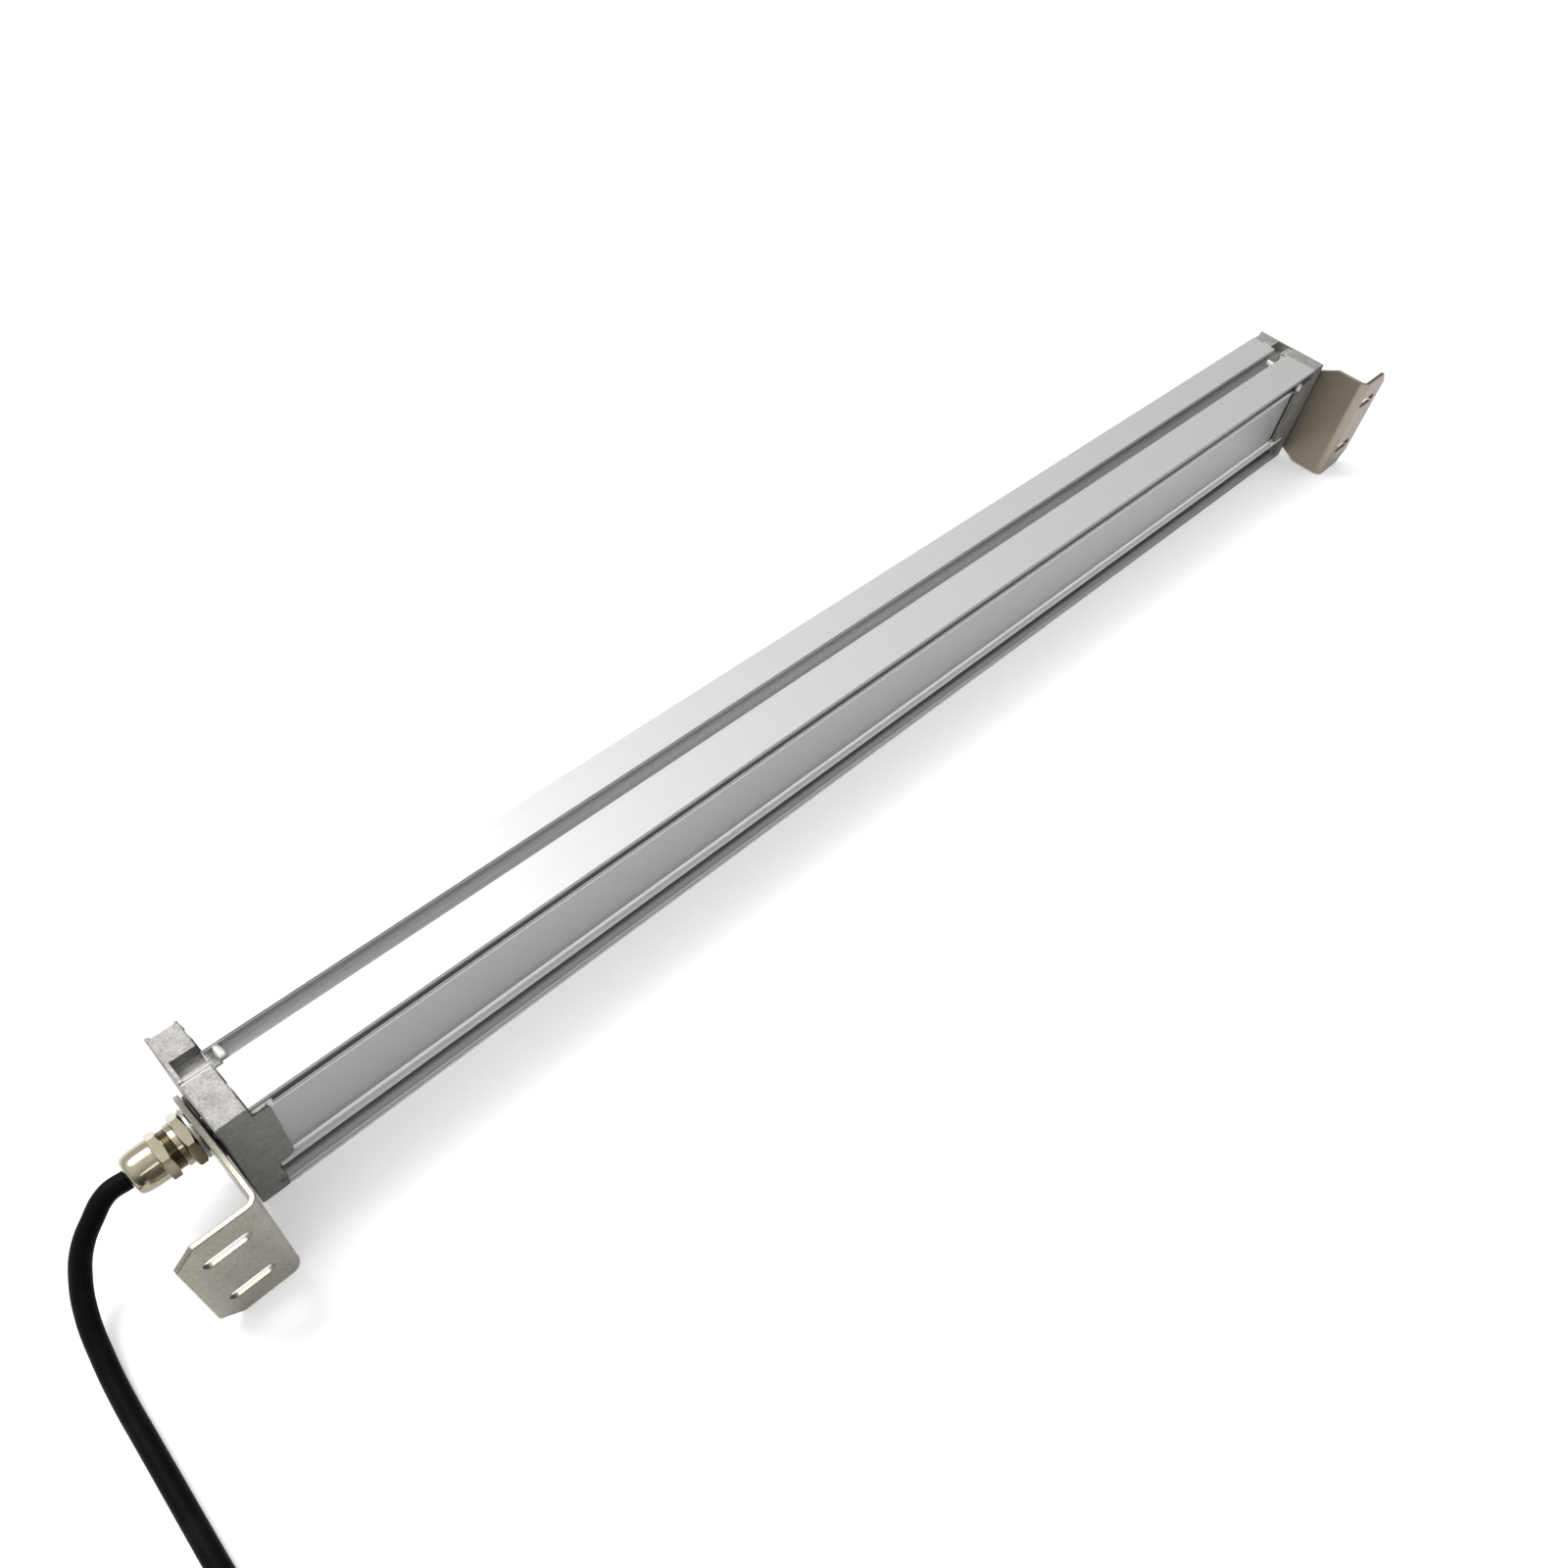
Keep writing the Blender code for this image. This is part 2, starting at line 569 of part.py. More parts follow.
def make_housing():
    """The aluminium extrusion, one section all along: every addition and cut runs its whole length."""
    inside = (-HOUSING_END, HOUSING_END)
    past = (-HOUSING_END - OVERRUN, HOUSING_END + OVERRUN)
    outer = rectangle(-HALF_WIDTH, 0, HALF_WIDTH, HOUSING_HEIGHT, CORNER_BREAK)
    housing = prism("housing_extrusion", outer, *inside, finish="anodised")

    chamber = rectangle(BACK_WALL, HOUSING_WALL, CHAMBER_FAR, HOUSING_HEIGHT - HOUSING_WALL)
    cut(housing, prism("chamber", chamber, *past))

    cove_block = rectangle(COVE_BACK, HOUSING_WALL / 2, COVE_BACK + NEAR_WALL, LEDGE_HEIGHT)
    slot_block = rectangle(
        SLOT_NEAR - SLOT_UNDERCUT - SLOT_WALL,
        SLOT_FLOOR - SLOT_WALL,
        SLOT_FAR + SLOT_UNDERCUT + SLOT_WALL,
        HOUSING_HEIGHT - HOUSING_WALL / 2,
    )
    add(housing, prism("cove_block", cove_block, *inside), prism("slot_block", slot_block, *inside))

    sides = SMALL_ROUND_STEPS
    for number, (y, z) in enumerate(CHANNELS, 1):
        add(housing, rod(f"channel_boss_{number}", CHANNEL_BOSS, *inside, at=(0, y, z), sides=sides))
    for number, (y, z) in enumerate(CHANNELS, 1):
        cut(housing, rod(f"channel_{number}", CHANNEL_RADIUS, *past, at=(0, y, z), sides=sides))
        inwards = math.copysign(CHANNEL_BOSS + OVERRUN, MIDDLE - z)
        low, high = sorted((z, z + inwards))
        mouth = rectangle(y - CHANNEL_MOUTH / 2, low, y + CHANNEL_MOUTH / 2, high)
        cut(housing, prism(f"channel_mouth_{number}", mouth, *past))

    window_layers = {
        "glass_groove": (GLASS_GROOVE_NEAR, GLASS_GROOVE_FAR, GLASS_GROOVE_WALL),
        "window_opening": (GLASS_GROOVE_FAR - GLASS_LIP, HALF_WIDTH + OVERRUN, WINDOW_SILL),
        "rib_opening": (CHAMBER_FAR - GLASS_RIB, GLASS_GROOVE_NEAR + GLASS_RIB, GLASS_RIB_HEIGHT),
    }
    for name, (near, far, edge) in window_layers.items():
        cut(housing, prism(name, rectangle(near, edge, far, HOUSING_HEIGHT - edge), *past))

    slot = [
        (SLOT_NEAR, HOUSING_HEIGHT + OVERRUN),
        (SLOT_NEAR, HOUSING_HEIGHT - SLOT_LIP),
        (SLOT_NEAR - SLOT_UNDERCUT, HOUSING_HEIGHT - SLOT_LIP),
        (SLOT_NEAR - SLOT_UNDERCUT, SLOT_FLOOR),
        (SLOT_FAR + SLOT_UNDERCUT, SLOT_FLOOR),
        (SLOT_FAR + SLOT_UNDERCUT, HOUSING_HEIGHT - SLOT_LIP),
        (SLOT_FAR, HOUSING_HEIGHT - SLOT_LIP),
        (SLOT_FAR, HOUSING_HEIGHT + OVERRUN),
    ]
    cut(housing, prism("t_slot", slot, *past))
    for number in (1, 2):
        low = SLOT_FAR + SLOT_UNDERCUT - number * SLOT_RIB_SPACING
        rib = rectangle(low, SLOT_FLOOR - SLOT_WALL / 2, low + SLOT_RIB_WIDTH, SLOT_FLOOR + SLOT_RIB_HEIGHT)
        add(housing, prism(f"slot_rib_{number}", rib, *inside))

    panel_top = HOUSING_HEIGHT - TOP_LIP - PANEL_TOP_GAP
    outside = -HALF_WIDTH - OVERRUN
    recess = [
        (outside, LEDGE_HEIGHT),
        (-HALF_WIDTH, LEDGE_HEIGHT),
        (PANEL_FACE, LEDGE_HEIGHT + LEDGE_RISE),
        (PANEL_FACE, panel_top),
        (RECESS_FLOOR, panel_top),
        (RECESS_FLOOR, HOUSING_HEIGHT - TOP_LIP),
        (outside, HOUSING_HEIGHT - TOP_LIP),
    ]
    cut(housing, prism("panel_recess", recess, *past))
    ledge_middle = (0, (PANEL_FACE - HALF_WIDTH) / 2, LEDGE_HEIGHT + LEDGE_RISE / 2)
    cut(housing, rod("ledge_groove", LEDGE_GROOVE, *past, at=ledge_middle, sides=SMALL_ROUND_STEPS))
    cut(housing, rod("cove", COVE_RADIUS, *past, at=(0, -HALF_WIDTH, COVE_HEIGHT)))
    foot_groove = rectangle(
        outside, FOOT_GROOVE_HEIGHT, -HALF_WIDTH + FOOT_GROOVE_DEPTH, FOOT_GROOVE_HEIGHT + FOOT_GROOVE_WIDTH
    )
    cut(housing, prism("foot_groove", foot_groove, *past))
    # The additions end flush with the extrusion, which the exact solver leaves open
    for change in housing.modifiers:
        change.solver = "MANIFOLD"


def make_window():
    """The pane in its groove, bedded on a seal strip along each long edge."""
    groove = HOUSING_HEIGHT - 2 * GLASS_GROOVE_WALL
    near = GLASS_GROOVE_NEAR + FIT
    far = GLASS_GROOVE_FAR - FIT
    end = HOUSING_END - FIT
    seal_low = GLASS_GROOVE_WALL + FIT
    glass_low = seal_low + SEAL_HEIGHT + FIT
    seal_high = seal_low + groove - 2 * FIT
    levels = {
        "window_seal_lower": (seal_low, seal_low + SEAL_HEIGHT, "silicone"),
        "window_glass": (glass_low, HOUSING_HEIGHT - glass_low, "glass"),
        "window_seal_upper": (seal_high - SEAL_HEIGHT, seal_high, "silicone"),
    }
    for name, (low, high, finish) in levels.items():
        boxes(name, [((-end, near, low), (end, far, high))], finish)


def make_light_source():
    """Two boards of LEDs end to end on the near wall, and the sheets that flare from them to the pane."""
    middle = (LIGHT_START + LIGHT_END) / 2
    stretches = {
        "led_board_cable_end": (LIGHT_START, middle - FIT / 2),
        "led_board_blind_end": (middle + FIT / 2, LIGHT_END),
    }
    for name, (start, end) in stretches.items():
        low = MIDDLE - LED_BOARD_HALF_WIDTH
        high = MIDDLE + LED_BOARD_HALF_WIDTH
        board = boxes(name, [((start, BOARD_BACK, low), (end, BOARD_FRONT, high))], "led_board")
        pitch = (end - start) / LED_COUNT
        leds = []
        for number in range(LED_COUNT):
            x = start + (number + 0.5) * pitch
            low_corner = (x - LED_SIZE / 2, BOARD_FRONT - BOARD_THICKNESS / 2, MIDDLE - LED_SIZE / 2)
            high_corner = (x + LED_SIZE / 2, BOARD_FRONT + LED_HEIGHT, MIDDLE + LED_SIZE / 2)
            leds.append((low_corner, high_corner))
        add(board, boxes(f"{name}_leds", leds))

    foot_low = MIDDLE + LED_BOARD_HALF_WIDTH + FIT
    foot_high = HOUSING_HEIGHT - LEDGE_HEIGHT - REFLECTOR_LEDGE_GAP
    mouth = UPPER_CHANNEL - CHANNEL_BOSS - FIT
    far = CHAMBER_FAR - REFLECTOR_EDGE_GAP
    upper = [
        (BOARD_BACK, foot_low),
        (BOARD_BACK + REFLECTOR_THICKNESS, foot_low),
        (BOARD_BACK + REFLECTOR_THICKNESS, foot_high - REFLECTOR_THICKNESS),
        (far, mouth - REFLECTOR_THICKNESS),
        (far, mouth),
        (BOARD_BACK, foot_high),
    ]
    lower = [(y, HOUSING_HEIGHT - z) for y, z in reversed(upper)]
    prism("reflector_upper", upper, LIGHT_START, LIGHT_END, finish="bright_sheet")
    prism("reflector_lower", lower, LIGHT_START, LIGHT_END, finish="bright_sheet")


def driver_place(shares):
    """A place on the driver board, from its shares of the board's length and height."""
    along, up = shares
    return DRIVER_START + along * DRIVER_LENGTH, DRIVER_LOW + up * (DRIVER_HIGH - DRIVER_LOW)


def make_driver():
    """The current driver's board with its components, its terminal block and the cores that enter it."""
    corners = ((DRIVER_START, BOARD_BACK, DRIVER_LOW), (DRIVER_END, BOARD_FRONT, DRIVER_HIGH))
    board = boxes("driver_board", [corners], "circuit_board")
    root = BOARD_FRONT - BOARD_THICKNESS / 2
    components = {
        "choke": (CHOKE_PLACE_SHARES, CHOKE_RADIUS, CHOKE_HEIGHT),
        "capacitor": (CAPACITOR_PLACE_SHARES, CAPACITOR_RADIUS, CAPACITOR_HEIGHT),
    }
    for name, (shares, radius, height) in components.items():
        x, z = driver_place(shares)
        add(board, rod(name, radius, root, BOARD_FRONT + height, "Y", (x, 0, z), SMALL_ROUND_STEPS))
    x, z = driver_place(CHIP_PLACE_SHARES)
    chip_low = (x - CHIP_LENGTH / 2, root, z - CHIP_WIDTH / 2)
    chip_high = (x + CHIP_LENGTH / 2, BOARD_FRONT + CHIP_HEIGHT, z + CHIP_WIDTH / 2)
    add(board, boxes("chip", [(chip_low, chip_high)]))

    half = 1.5 * TERMINAL_PITCH + FIT
    low = (TERMINAL_START, BOARD_FRONT + FIT, MIDDLE - half)
    high = (TERMINAL_START + TERMINAL_LENGTH, BOARD_FRONT + FIT + TERMINAL_HEIGHT, MIDDLE + half)
    terminal = boxes("terminal_block", [(low, high)], "grey_plastic")
    hole_end = TERMINAL_START + TERMINAL_HOLE_DEPTH
    screw_x = TERMINAL_START + TERMINAL_LENGTH / 2
    for place, core in ((-1, "core_brown"), (0, "core_blue"), (1, "core_green_yellow")):
        z = MIDDLE + place * TERMINAL_PITCH
        at = (0, TERMINAL_MIDDLE, z)
        hole_start = TERMINAL_START - OVERRUN
        sides = SMALL_ROUND_STEPS
        cut(terminal, rod(f"{core}_hole", TERMINAL_HOLE_RADIUS, hole_start, hole_end, at=at, sides=sides))
        screw_well = rod(
            f"{core}_screw_well", TERMINAL_HOLE_RADIUS, high[1] - TERMINAL_HOLE_RADIUS, high[1] + OVERRUN,
            "Y", (screw_x, 0, z), sides,
        )
        cut(terminal, screw_well)

        start = Vector((-CAP_END + CABLE_TAIL_INSIDE + FIT, 0, MIDDLE + place * CORE_SPACING))
        end = Vector((TERMINAL_START + CORE_GRIP, TERMINAL_MIDDLE, z))
        points = [start]
        bend_end = TERMINAL_START - CORE_RADIUS
        for share in np.linspace(0, 1, LONG_ARC_STEPS):
            blend = share * share * (3 - 2 * share)
            across = start.lerp(end, blend)
            across.x = start.x + CORE_RADIUS + share * (bend_end - start.x - CORE_RADIUS)
            points.append(across)
        points.append(end)
        tube(core, points, CORE_RADIUS, core.removeprefix("core_"))


def gasket_outline(margin):
    """The gasket's rim, grown by a margin. It stays clear of the cove and of the cap's slot."""
    near = COVE_BACK + GASKET_COVE_GAP - margin
    far = CAP_FAR_SIDE - GASKET_INSET - FIT + margin
    low = GASKET_INSET + FIT - margin
    high = HOUSING_HEIGHT - GASKET_INSET - FIT + margin
    notch = GASKET_SLOT_GAP + FIT - margin
    return [
        (near, low),
        (far, low),
        (far, high),
        (CAP_SLOT_FAR + notch, high),
        (CAP_SLOT_FAR + notch, SLOT_FLOOR - notch),
        (CAP_SLOT_NEAR - notch, SLOT_FLOOR - notch),
        (CAP_SLOT_NEAR - notch, high),
        (near, high),
    ]


def screw_profile(margin, top):
    """A countersunk screw from its top down, grown by a margin. Distances are from the cap's face."""
    rim = -SCREW_SINK - SCREW_HEAD_EDGE - margin / 2
    cone = SCREW_HEAD_RADIUS - SCREW_SHANK
    return [
        (top, 0),
        (top, SCREW_HEAD_RADIUS + margin),
        (rim, SCREW_HEAD_RADIUS + margin),
        (rim - cone, SCREW_SHANK + margin),
        (-SCREW_SINK - SCREW_LENGTH, SCREW_SHANK + margin),
        (-SCREW_SINK - SCREW_LENGTH, 0),
    ]


def make_ends():
    """The caps, gaskets and screws: those of the blind end, and their mirror images at the cable's end."""
    inner = -CAP_DEPTH
    plan = [
        (inner, -HALF_WIDTH),
        (0, -HALF_WIDTH),
        (0, CAP_FAR_SIDE + CAP_PLATE_OVERHANG),
        (-CAP_PLATE, CAP_FAR_SIDE + CAP_PLATE_OVERHANG),
        (-CAP_PLATE, CAP_FAR_SIDE),
        (inner + CAP_RIM, CAP_FAR_SIDE),
        (inner + CAP_RIM, HALF_WIDTH + CAP_RIM_PROUD),
        (inner, HALF_WIDTH + CAP_RIM_PROUD),
    ]
    origin = (CAP_END, 0, 0)
    cap = prism("blind_end_cap", plan, 0, HOUSING_HEIGHT, "Z", origin, "die_cast")
    soften = cap.modifiers.new("cast_edges", "BEVEL")
    soften.width = CAP_EDGE_BREAK
    soften.segments = 1
    soften.limit_method = "ANGLE"

    past_inner = inner - OVERRUN
    past_top = HOUSING_HEIGHT + OVERRUN
    slot = rectangle(CAP_SLOT_NEAR, SLOT_FLOOR, CAP_SLOT_FAR, past_top)
    step = rectangle(CAP_SLOT_START, HOUSING_HEIGHT - CAP_SLOT_STEP_DEPTH, CAP_SLOT_FAR - FIT, past_top)
    cut(cap, prism("cap_slot", slot, past_inner, -CAP_PLATE, at=origin))
    cut(cap, prism("cap_slot_step", step, past_inner, -CAP_PLATE, at=origin))
    cove_middle = (CAP_END, -HALF_WIDTH, COVE_HEIGHT)
    cut(cap, rod("cap_pocket", COVE_RADIUS, past_inner, inner + CAP_POCKET_DEPTH, at=cove_middle))

    tongue_low = LEDGE_HEIGHT + LEDGE_RISE + FIT
    tongue_tip = inner - TONGUE_LENGTH
    tongue = [
        (tongue_tip + TONGUE_CHAMFER, tongue_low),
        (inner + TONGUE_ROOT, tongue_low),
        (inner + TONGUE_ROOT, HOUSING_HEIGHT - TONGUE_DROP),
        (tongue_tip, HOUSING_HEIGHT - TONGUE_DROP),
        (tongue_tip, tongue_low + TONGUE_CHAMFER),
    ]
    add(cap, prism("cap_tongue", tongue, -HALF_WIDTH + TONGUE_SETBACK, PANEL_FACE - FIT, "Y", origin))

    recess_end = inner + GASKET_THICKNESS + FIT
    cut(cap, prism("gasket_recess", gasket_outline(FIT), past_inner, recess_end, at=origin))
    pivot = (CAP_END, 0, MIDDLE)
    cut(cap, rod("cap_pivot_hole", PIVOT_HOLE, past_inner, OVERRUN, at=pivot))

    rim = gasket_outline(0)
    gasket = prism("blind_end_gasket", rim, inner, inner + GASKET_THICKNESS, at=origin, finish="silicone")
    gasket_past = (inner - OVERRUN, inner + GASKET_THICKNESS + OVERRUN)
    near = COVE_BACK + GASKET_COVE_GAP + GASKET_SIDE
    bar = GASKET_INSET + FIT + GASKET_BAR
    window = rectangle(near, bar, CHAMBER_FAR, HOUSING_HEIGHT - bar)
    cut(gasket, prism("gasket_window", window, *gasket_past, at=origin))

    screws = []
    for number, (y, z) in enumerate(CHANNELS, 1):
        at = (CAP_END, y, z)
        cut(cap, turned(f"countersink_{number}", screw_profile(FIT, OVERRUN), at, SMALL_ROUND_STEPS))
        hole = rod(f"gasket_hole_{number}", SCREW_SHANK + FIT, *gasket_past, at=at, sides=SMALL_ROUND_STEPS)
        cut(gasket, hole)
        name = f"cap_screw_blind_end_{number}"
        screw = turned(name, screw_profile(0, -SCREW_SINK), at, SMALL_ROUND_STEPS, "zinc_steel")
        socket_floor = -SCREW_SINK - SCREW_SOCKET_DEPTH
        cut(screw, rod(f"screw_socket_{number}", SCREW_SOCKET_RADIUS, socket_floor, OVERRUN, at=at, sides=6))
        screws.append(screw)

    mirrored(cap, "cable_end_cap")
    mirrored(gasket, "cable_end_gasket")
    for number, screw in enumerate(screws, 1):
        mirrored(screw, f"cap_screw_cable_end_{number}")


def make_brackets():
    """The brackets, bent from plate: a leg that turns on the pivot and a slotted flange beside the lamp."""
    pivot = (CAP_END, 0, MIDDLE)
    outer_bend = BRACKET_BEND + BRACKET_THICKNESS
    bend_x = LEG_INNER + outer_bend
    bend_y = -BRACKET_OFFSET + outer_bend
    leg_end = BRACKET_EYE + OVERRUN
    profile = [(LEG_OUTER, leg_end), (LEG_INNER, leg_end)]
    profile += arc(bend_x, bend_y, outer_bend, math.pi, 1.5 * math.pi)
    profile += [(BRACKET_REACH, -BRACKET_OFFSET), (BRACKET_REACH, -BRACKET_OFFSET + BRACKET_THICKNESS)]
    profile += arc(bend_x, bend_y, BRACKET_BEND, 1.5 * math.pi, math.pi)
    height = BRACKET_HALF_HEIGHT
    bracket = prism("bracket_blind_end", profile, -height, height, "Z", pivot, "stainless")

    far = -BRACKET_OFFSET - OVERRUN
    tall = height + OVERRUN
    tangent = math.atan2(height, -BRACKET_SHOULDER)
    tangent -= math.acos(BRACKET_EYE / math.hypot(BRACKET_SHOULDER, height))
    outline = arc(0, 0, BRACKET_EYE, -tangent, tangent, LONG_ARC_STEPS)
    outline += [(-BRACKET_SHOULDER, height), (-BRACKET_SHOULDER, tall), (far, tall)]
    outline += [(far, -tall), (-BRACKET_SHOULDER, -tall), (-BRACKET_SHOULDER, -height)]
    across = (LEG_INNER - OVERRUN, BRACKET_REACH + OVERRUN)
    keep(bracket, prism("leg_outline", outline, *across, at=pivot))
    cut(bracket, rod("bracket_pivot_hole", PIVOT_HOLE, *across, at=pivot))

    through = (far, -BRACKET_OFFSET + outer_bend)
    reach = BRACKET_REACH + OVERRUN
    slot_x = BRACKET_REACH - BRACKET_SLOT_MARGIN - BRACKET_SLOT_LENGTH / 2
    for end, up in (("lower", -1), ("upper", 1)):
        corner = [
            (reach, up * (height - BRACKET_CHAMFER - OVERRUN)),
            (reach, up * tall),
            (BRACKET_REACH - BRACKET_CHAMFER - OVERRUN, up * tall),
        ]
        cut(bracket, prism(f"flange_corner_{end}", corner, *through, "Y", pivot))
        slot = stadium(slot_x, up * BRACKET_SLOT_SPACING / 2, BRACKET_SLOT_LENGTH, BRACKET_SLOT_WIDTH)
        cut(bracket, prism(f"flange_slot_{end}", slot, *through, "Y", pivot))
    mirrored(bracket, "bracket_cable_end")


def ring(name, inner, outer, low, high, at, finish):
    return turned(name, [(high, inner), (high, outer), (low, outer), (low, inner)], at, finish=finish)


def hexagon(name, flat, low, high, at, finish):
    """A hexagonal head or collar whose corners are chamfered at both ends."""
    corner = flat / math.cos(math.pi / 6)
    drop = (corner + 2 * FIT - flat) * math.tan(math.pi / 6)
    head = rod(name, corner, low, high, at=at, sides=6, finish=finish)
    rounded = [
        (high + FIT, 0),
        (high + FIT, flat - 2 * FIT),
        (high - drop, corner + FIT),
        (low + drop, corner + FIT),
        (low - FIT, flat - 2 * FIT),
        (low - FIT, 0),
    ]
    return keep(head, turned(f"{name}_chamfers", rounded, at))


def make_pivots():
    """What the brackets turn on: a hex plug at the blind end and a cable gland at the other."""
    pivot = (CAP_END, 0, MIDDLE)
    washer_radius = PIVOT_RADIUS + FIT + FRICTION_WASHER_WIDTH
    washer = ring(
        "friction_washer_blind_end", PIVOT_HOLE, washer_radius, FIT, LEG_INNER - FIT, pivot, "black_nylon"
    )
    mirrored(washer, "friction_washer_cable_end")
    lock_radius = PIVOT_RADIUS + FIT + LOCK_WASHER_WIDTH
    lock = ring(
        "lock_washer_blind_end", PIVOT_HOLE, lock_radius, LEG_OUTER + FIT, HEX_FACE - FIT, pivot, "zinc_steel"
    )
    mirrored(lock, "lock_washer_cable_end")

    plug = hexagon("pivot_plug", HEX_FLAT, HEX_FACE, HEX_FACE + PLUG_HEAD, pivot, "nickel")
    add(plug, rod("plug_thread", PIVOT_RADIUS, -PIVOT_ENGAGEMENT, HEX_FACE + PLUG_HEAD / 2, at=pivot))

    body = hexagon("gland_body", HEX_FLAT, HEX_FACE, COLLAR_END, pivot, "nickel")
    inside_collar = HEX_FACE + COLLAR_THICKNESS / 2
    threads = [
        (THREAD_END, 0),
        (THREAD_END, GLAND_THREAD_RADIUS),
        (inside_collar, GLAND_THREAD_RADIUS),
        (inside_collar, PIVOT_RADIUS),
        (-PIVOT_ENGAGEMENT, PIVOT_RADIUS),
        (-PIVOT_ENGAGEMENT, 0),
    ]
    add(body, turned("gland_threads", threads, pivot))
    cut(body, rod("gland_bore", GLAND_BORE, -PIVOT_ENGAGEMENT - OVERRUN, THREAD_END + OVERRUN, at=pivot))

    corner = NUT_FLAT / math.cos(math.pi / 6)
    drop = (corner + 2 * FIT - NUT_FLAT) * math.tan(math.pi / 6)
    nut = rod("gland_nut", corner, NUT_FACE, NUT_END + FIT, at=pivot, sides=6, finish="nickel")
    mouth = GLAND_BORE + NUT_LIP
    dome_rise = NUT_FLAT - FIT - mouth
    nut_profile = [(NUT_END, 0)]
    for angle in np.linspace(math.pi / 2, 0, ARC_STEPS + 1):
        along = NUT_SHOULDER + NUT_DOME_LENGTH * math.sin(angle) ** NUT_DOME_SQUARENESS
        nut_profile.append((along, mouth + dome_rise * math.cos(angle) ** NUT_DOME_SQUARENESS))
    nut_profile += [
        (NUT_SHOULDER - drop, corner + FIT),
        (NUT_FACE + drop, corner + FIT),
        (NUT_FACE - FIT, NUT_FLAT - 2 * FIT),
        (NUT_FACE - FIT, 0),
    ]
    keep(nut, turned("nut_form", nut_profile, pivot))
    nut_inside = [
        (NUT_END + OVERRUN, 0),
        (NUT_END + OVERRUN, GLAND_BORE),
        (NUT_END - NUT_MOUTH, GLAND_BORE),
        (SEAL_END + FIT, NUT_BORE),
        (NUT_FACE - OVERRUN, NUT_BORE),
        (NUT_FACE - OVERRUN, 0),
    ]
    cut(nut, turned("nut_inside", nut_inside, pivot))

    seal_start = THREAD_END + FIT
    seal = ring("gland_seal", CABLE_RADIUS + FIT, SEAL_OUTER, seal_start, SEAL_END, pivot, "black_rubber")
    claw = ring("gland_claw", CLAW_INNER, GLAND_THREAD_RADIUS, seal_start, SEAL_END, pivot, "black_nylon")
    reach = GLAND_THREAD_RADIUS + OVERRUN
    for number in range(CLAW_SLOT_PAIRS):
        turn = Matrix.Rotation(number * math.pi / CLAW_SLOT_PAIRS, 2)
        corners = rectangle(-reach, -CLAW_SLOT_WIDTH / 2, reach, CLAW_SLOT_WIDTH / 2)
        outline = [turn @ Vector(corner) for corner in corners]
        claw_past = (seal_start + CLAW_ROOT, SEAL_END + OVERRUN)
        cut(claw, prism(f"claw_slots_{number}", outline, *claw_past, at=pivot))
    entry = rod("cable_entry", CABLE_RADIUS, -CABLE_TAIL_INSIDE, NUT_END, at=pivot, finish="black_sheath")
    for piece in (body, nut, seal, claw, entry):
        moved_to_cable_end(piece)


def coil_place(turn):
    """A place on the coil. It winds clockwise, spirals in and out again, and climbs at each reversal."""
    angle = -2 * math.pi * turn
    passes = turn / COIL_TURNS_PER_LAYER
    layer = math.floor(passes)
    across = passes - layer if layer % 2 == 0 else 1 - (passes - layer)
    radius = COIL_OUTER - across * COIL_TURNS_PER_LAYER * COIL_PITCH
    level = 0
    for reversal in range(1, COIL_LAYERS):
        late = turn - reversal * COIL_TURNS_PER_LAYER
        level += min(max(late / COIL_CLIMB + 0.5, 0), 1)
    height = COIL_BASE + level * COIL_PITCH
    return COIL_CENTRE + Vector((radius * math.cos(angle), radius * math.sin(angle), height))


def least_self_gap(points, radius):
    """The least gap between stretches of a tube that lie over half a turn apart."""
    line = []
    for a, b in zip(points, points[1:]):
        line += [a, (a + b) / 2]
    line.append(points[-1])
    places = np.array(line)
    apart = np.linalg.norm(places[:, None] - places[None], axis=2)
    order = np.arange(len(line))
    near = abs(order[:, None] - order[None]) <= COIL_POINTS_PER_TURN
    apart[near] = np.inf
    return apart.min() - 2 * radius


def make_cable():
    """The lead from the gland down to the surface that the lamp stands on, and the coil that it ends in."""
    straight = Vector((CABLE_DIAMETER, 0, 0))
    start = Vector((-CAP_END - NUT_END - FIT, 0, MIDDLE))
    coil_start = Vector((COIL_X, COIL_Y + CABLE_DIAMETER, COIL_BASE))
    end = coil_start + Vector((0, FIT, 0))
    before_end = end + Vector((0, CABLE_DIAMETER, 0))
    knots = [start - straight, *map(Vector, CABLE_ROUTE), before_end]
    stretch = length_of(knots)
    count = round(stretch / (CABLE_DIAMETERS_PER_POINT * CABLE_DIAMETER)) + 1
    lead = [start, *smooth_route(start, knots, end, count), end]
    tube("cable_lead", lead, CABLE_RADIUS, "black_sheath")

    turns = np.linspace(0, COIL_TURNS, round(COIL_TURNS * COIL_POINTS_PER_TURN) + 1)
    coil = [coil_start, *(coil_place(turn) for turn in turns)]
    onwards = (coil[-1] - coil[-2]).normalized()
    coil.append(coil[-1] + CABLE_DIAMETER * onwards)
    tube("cable_coil", coil, CABLE_RADIUS, "black_sheath", resolution=1)
    print(f"coil: least gap to itself {1000 * least_self_gap(coil, CABLE_RADIUS):.2f} mm")
    print(f"cable outside the lamp: {length_of(lead) + length_of(coil):.3f} m")
    make_lead_cores(coil[-1], onwards)


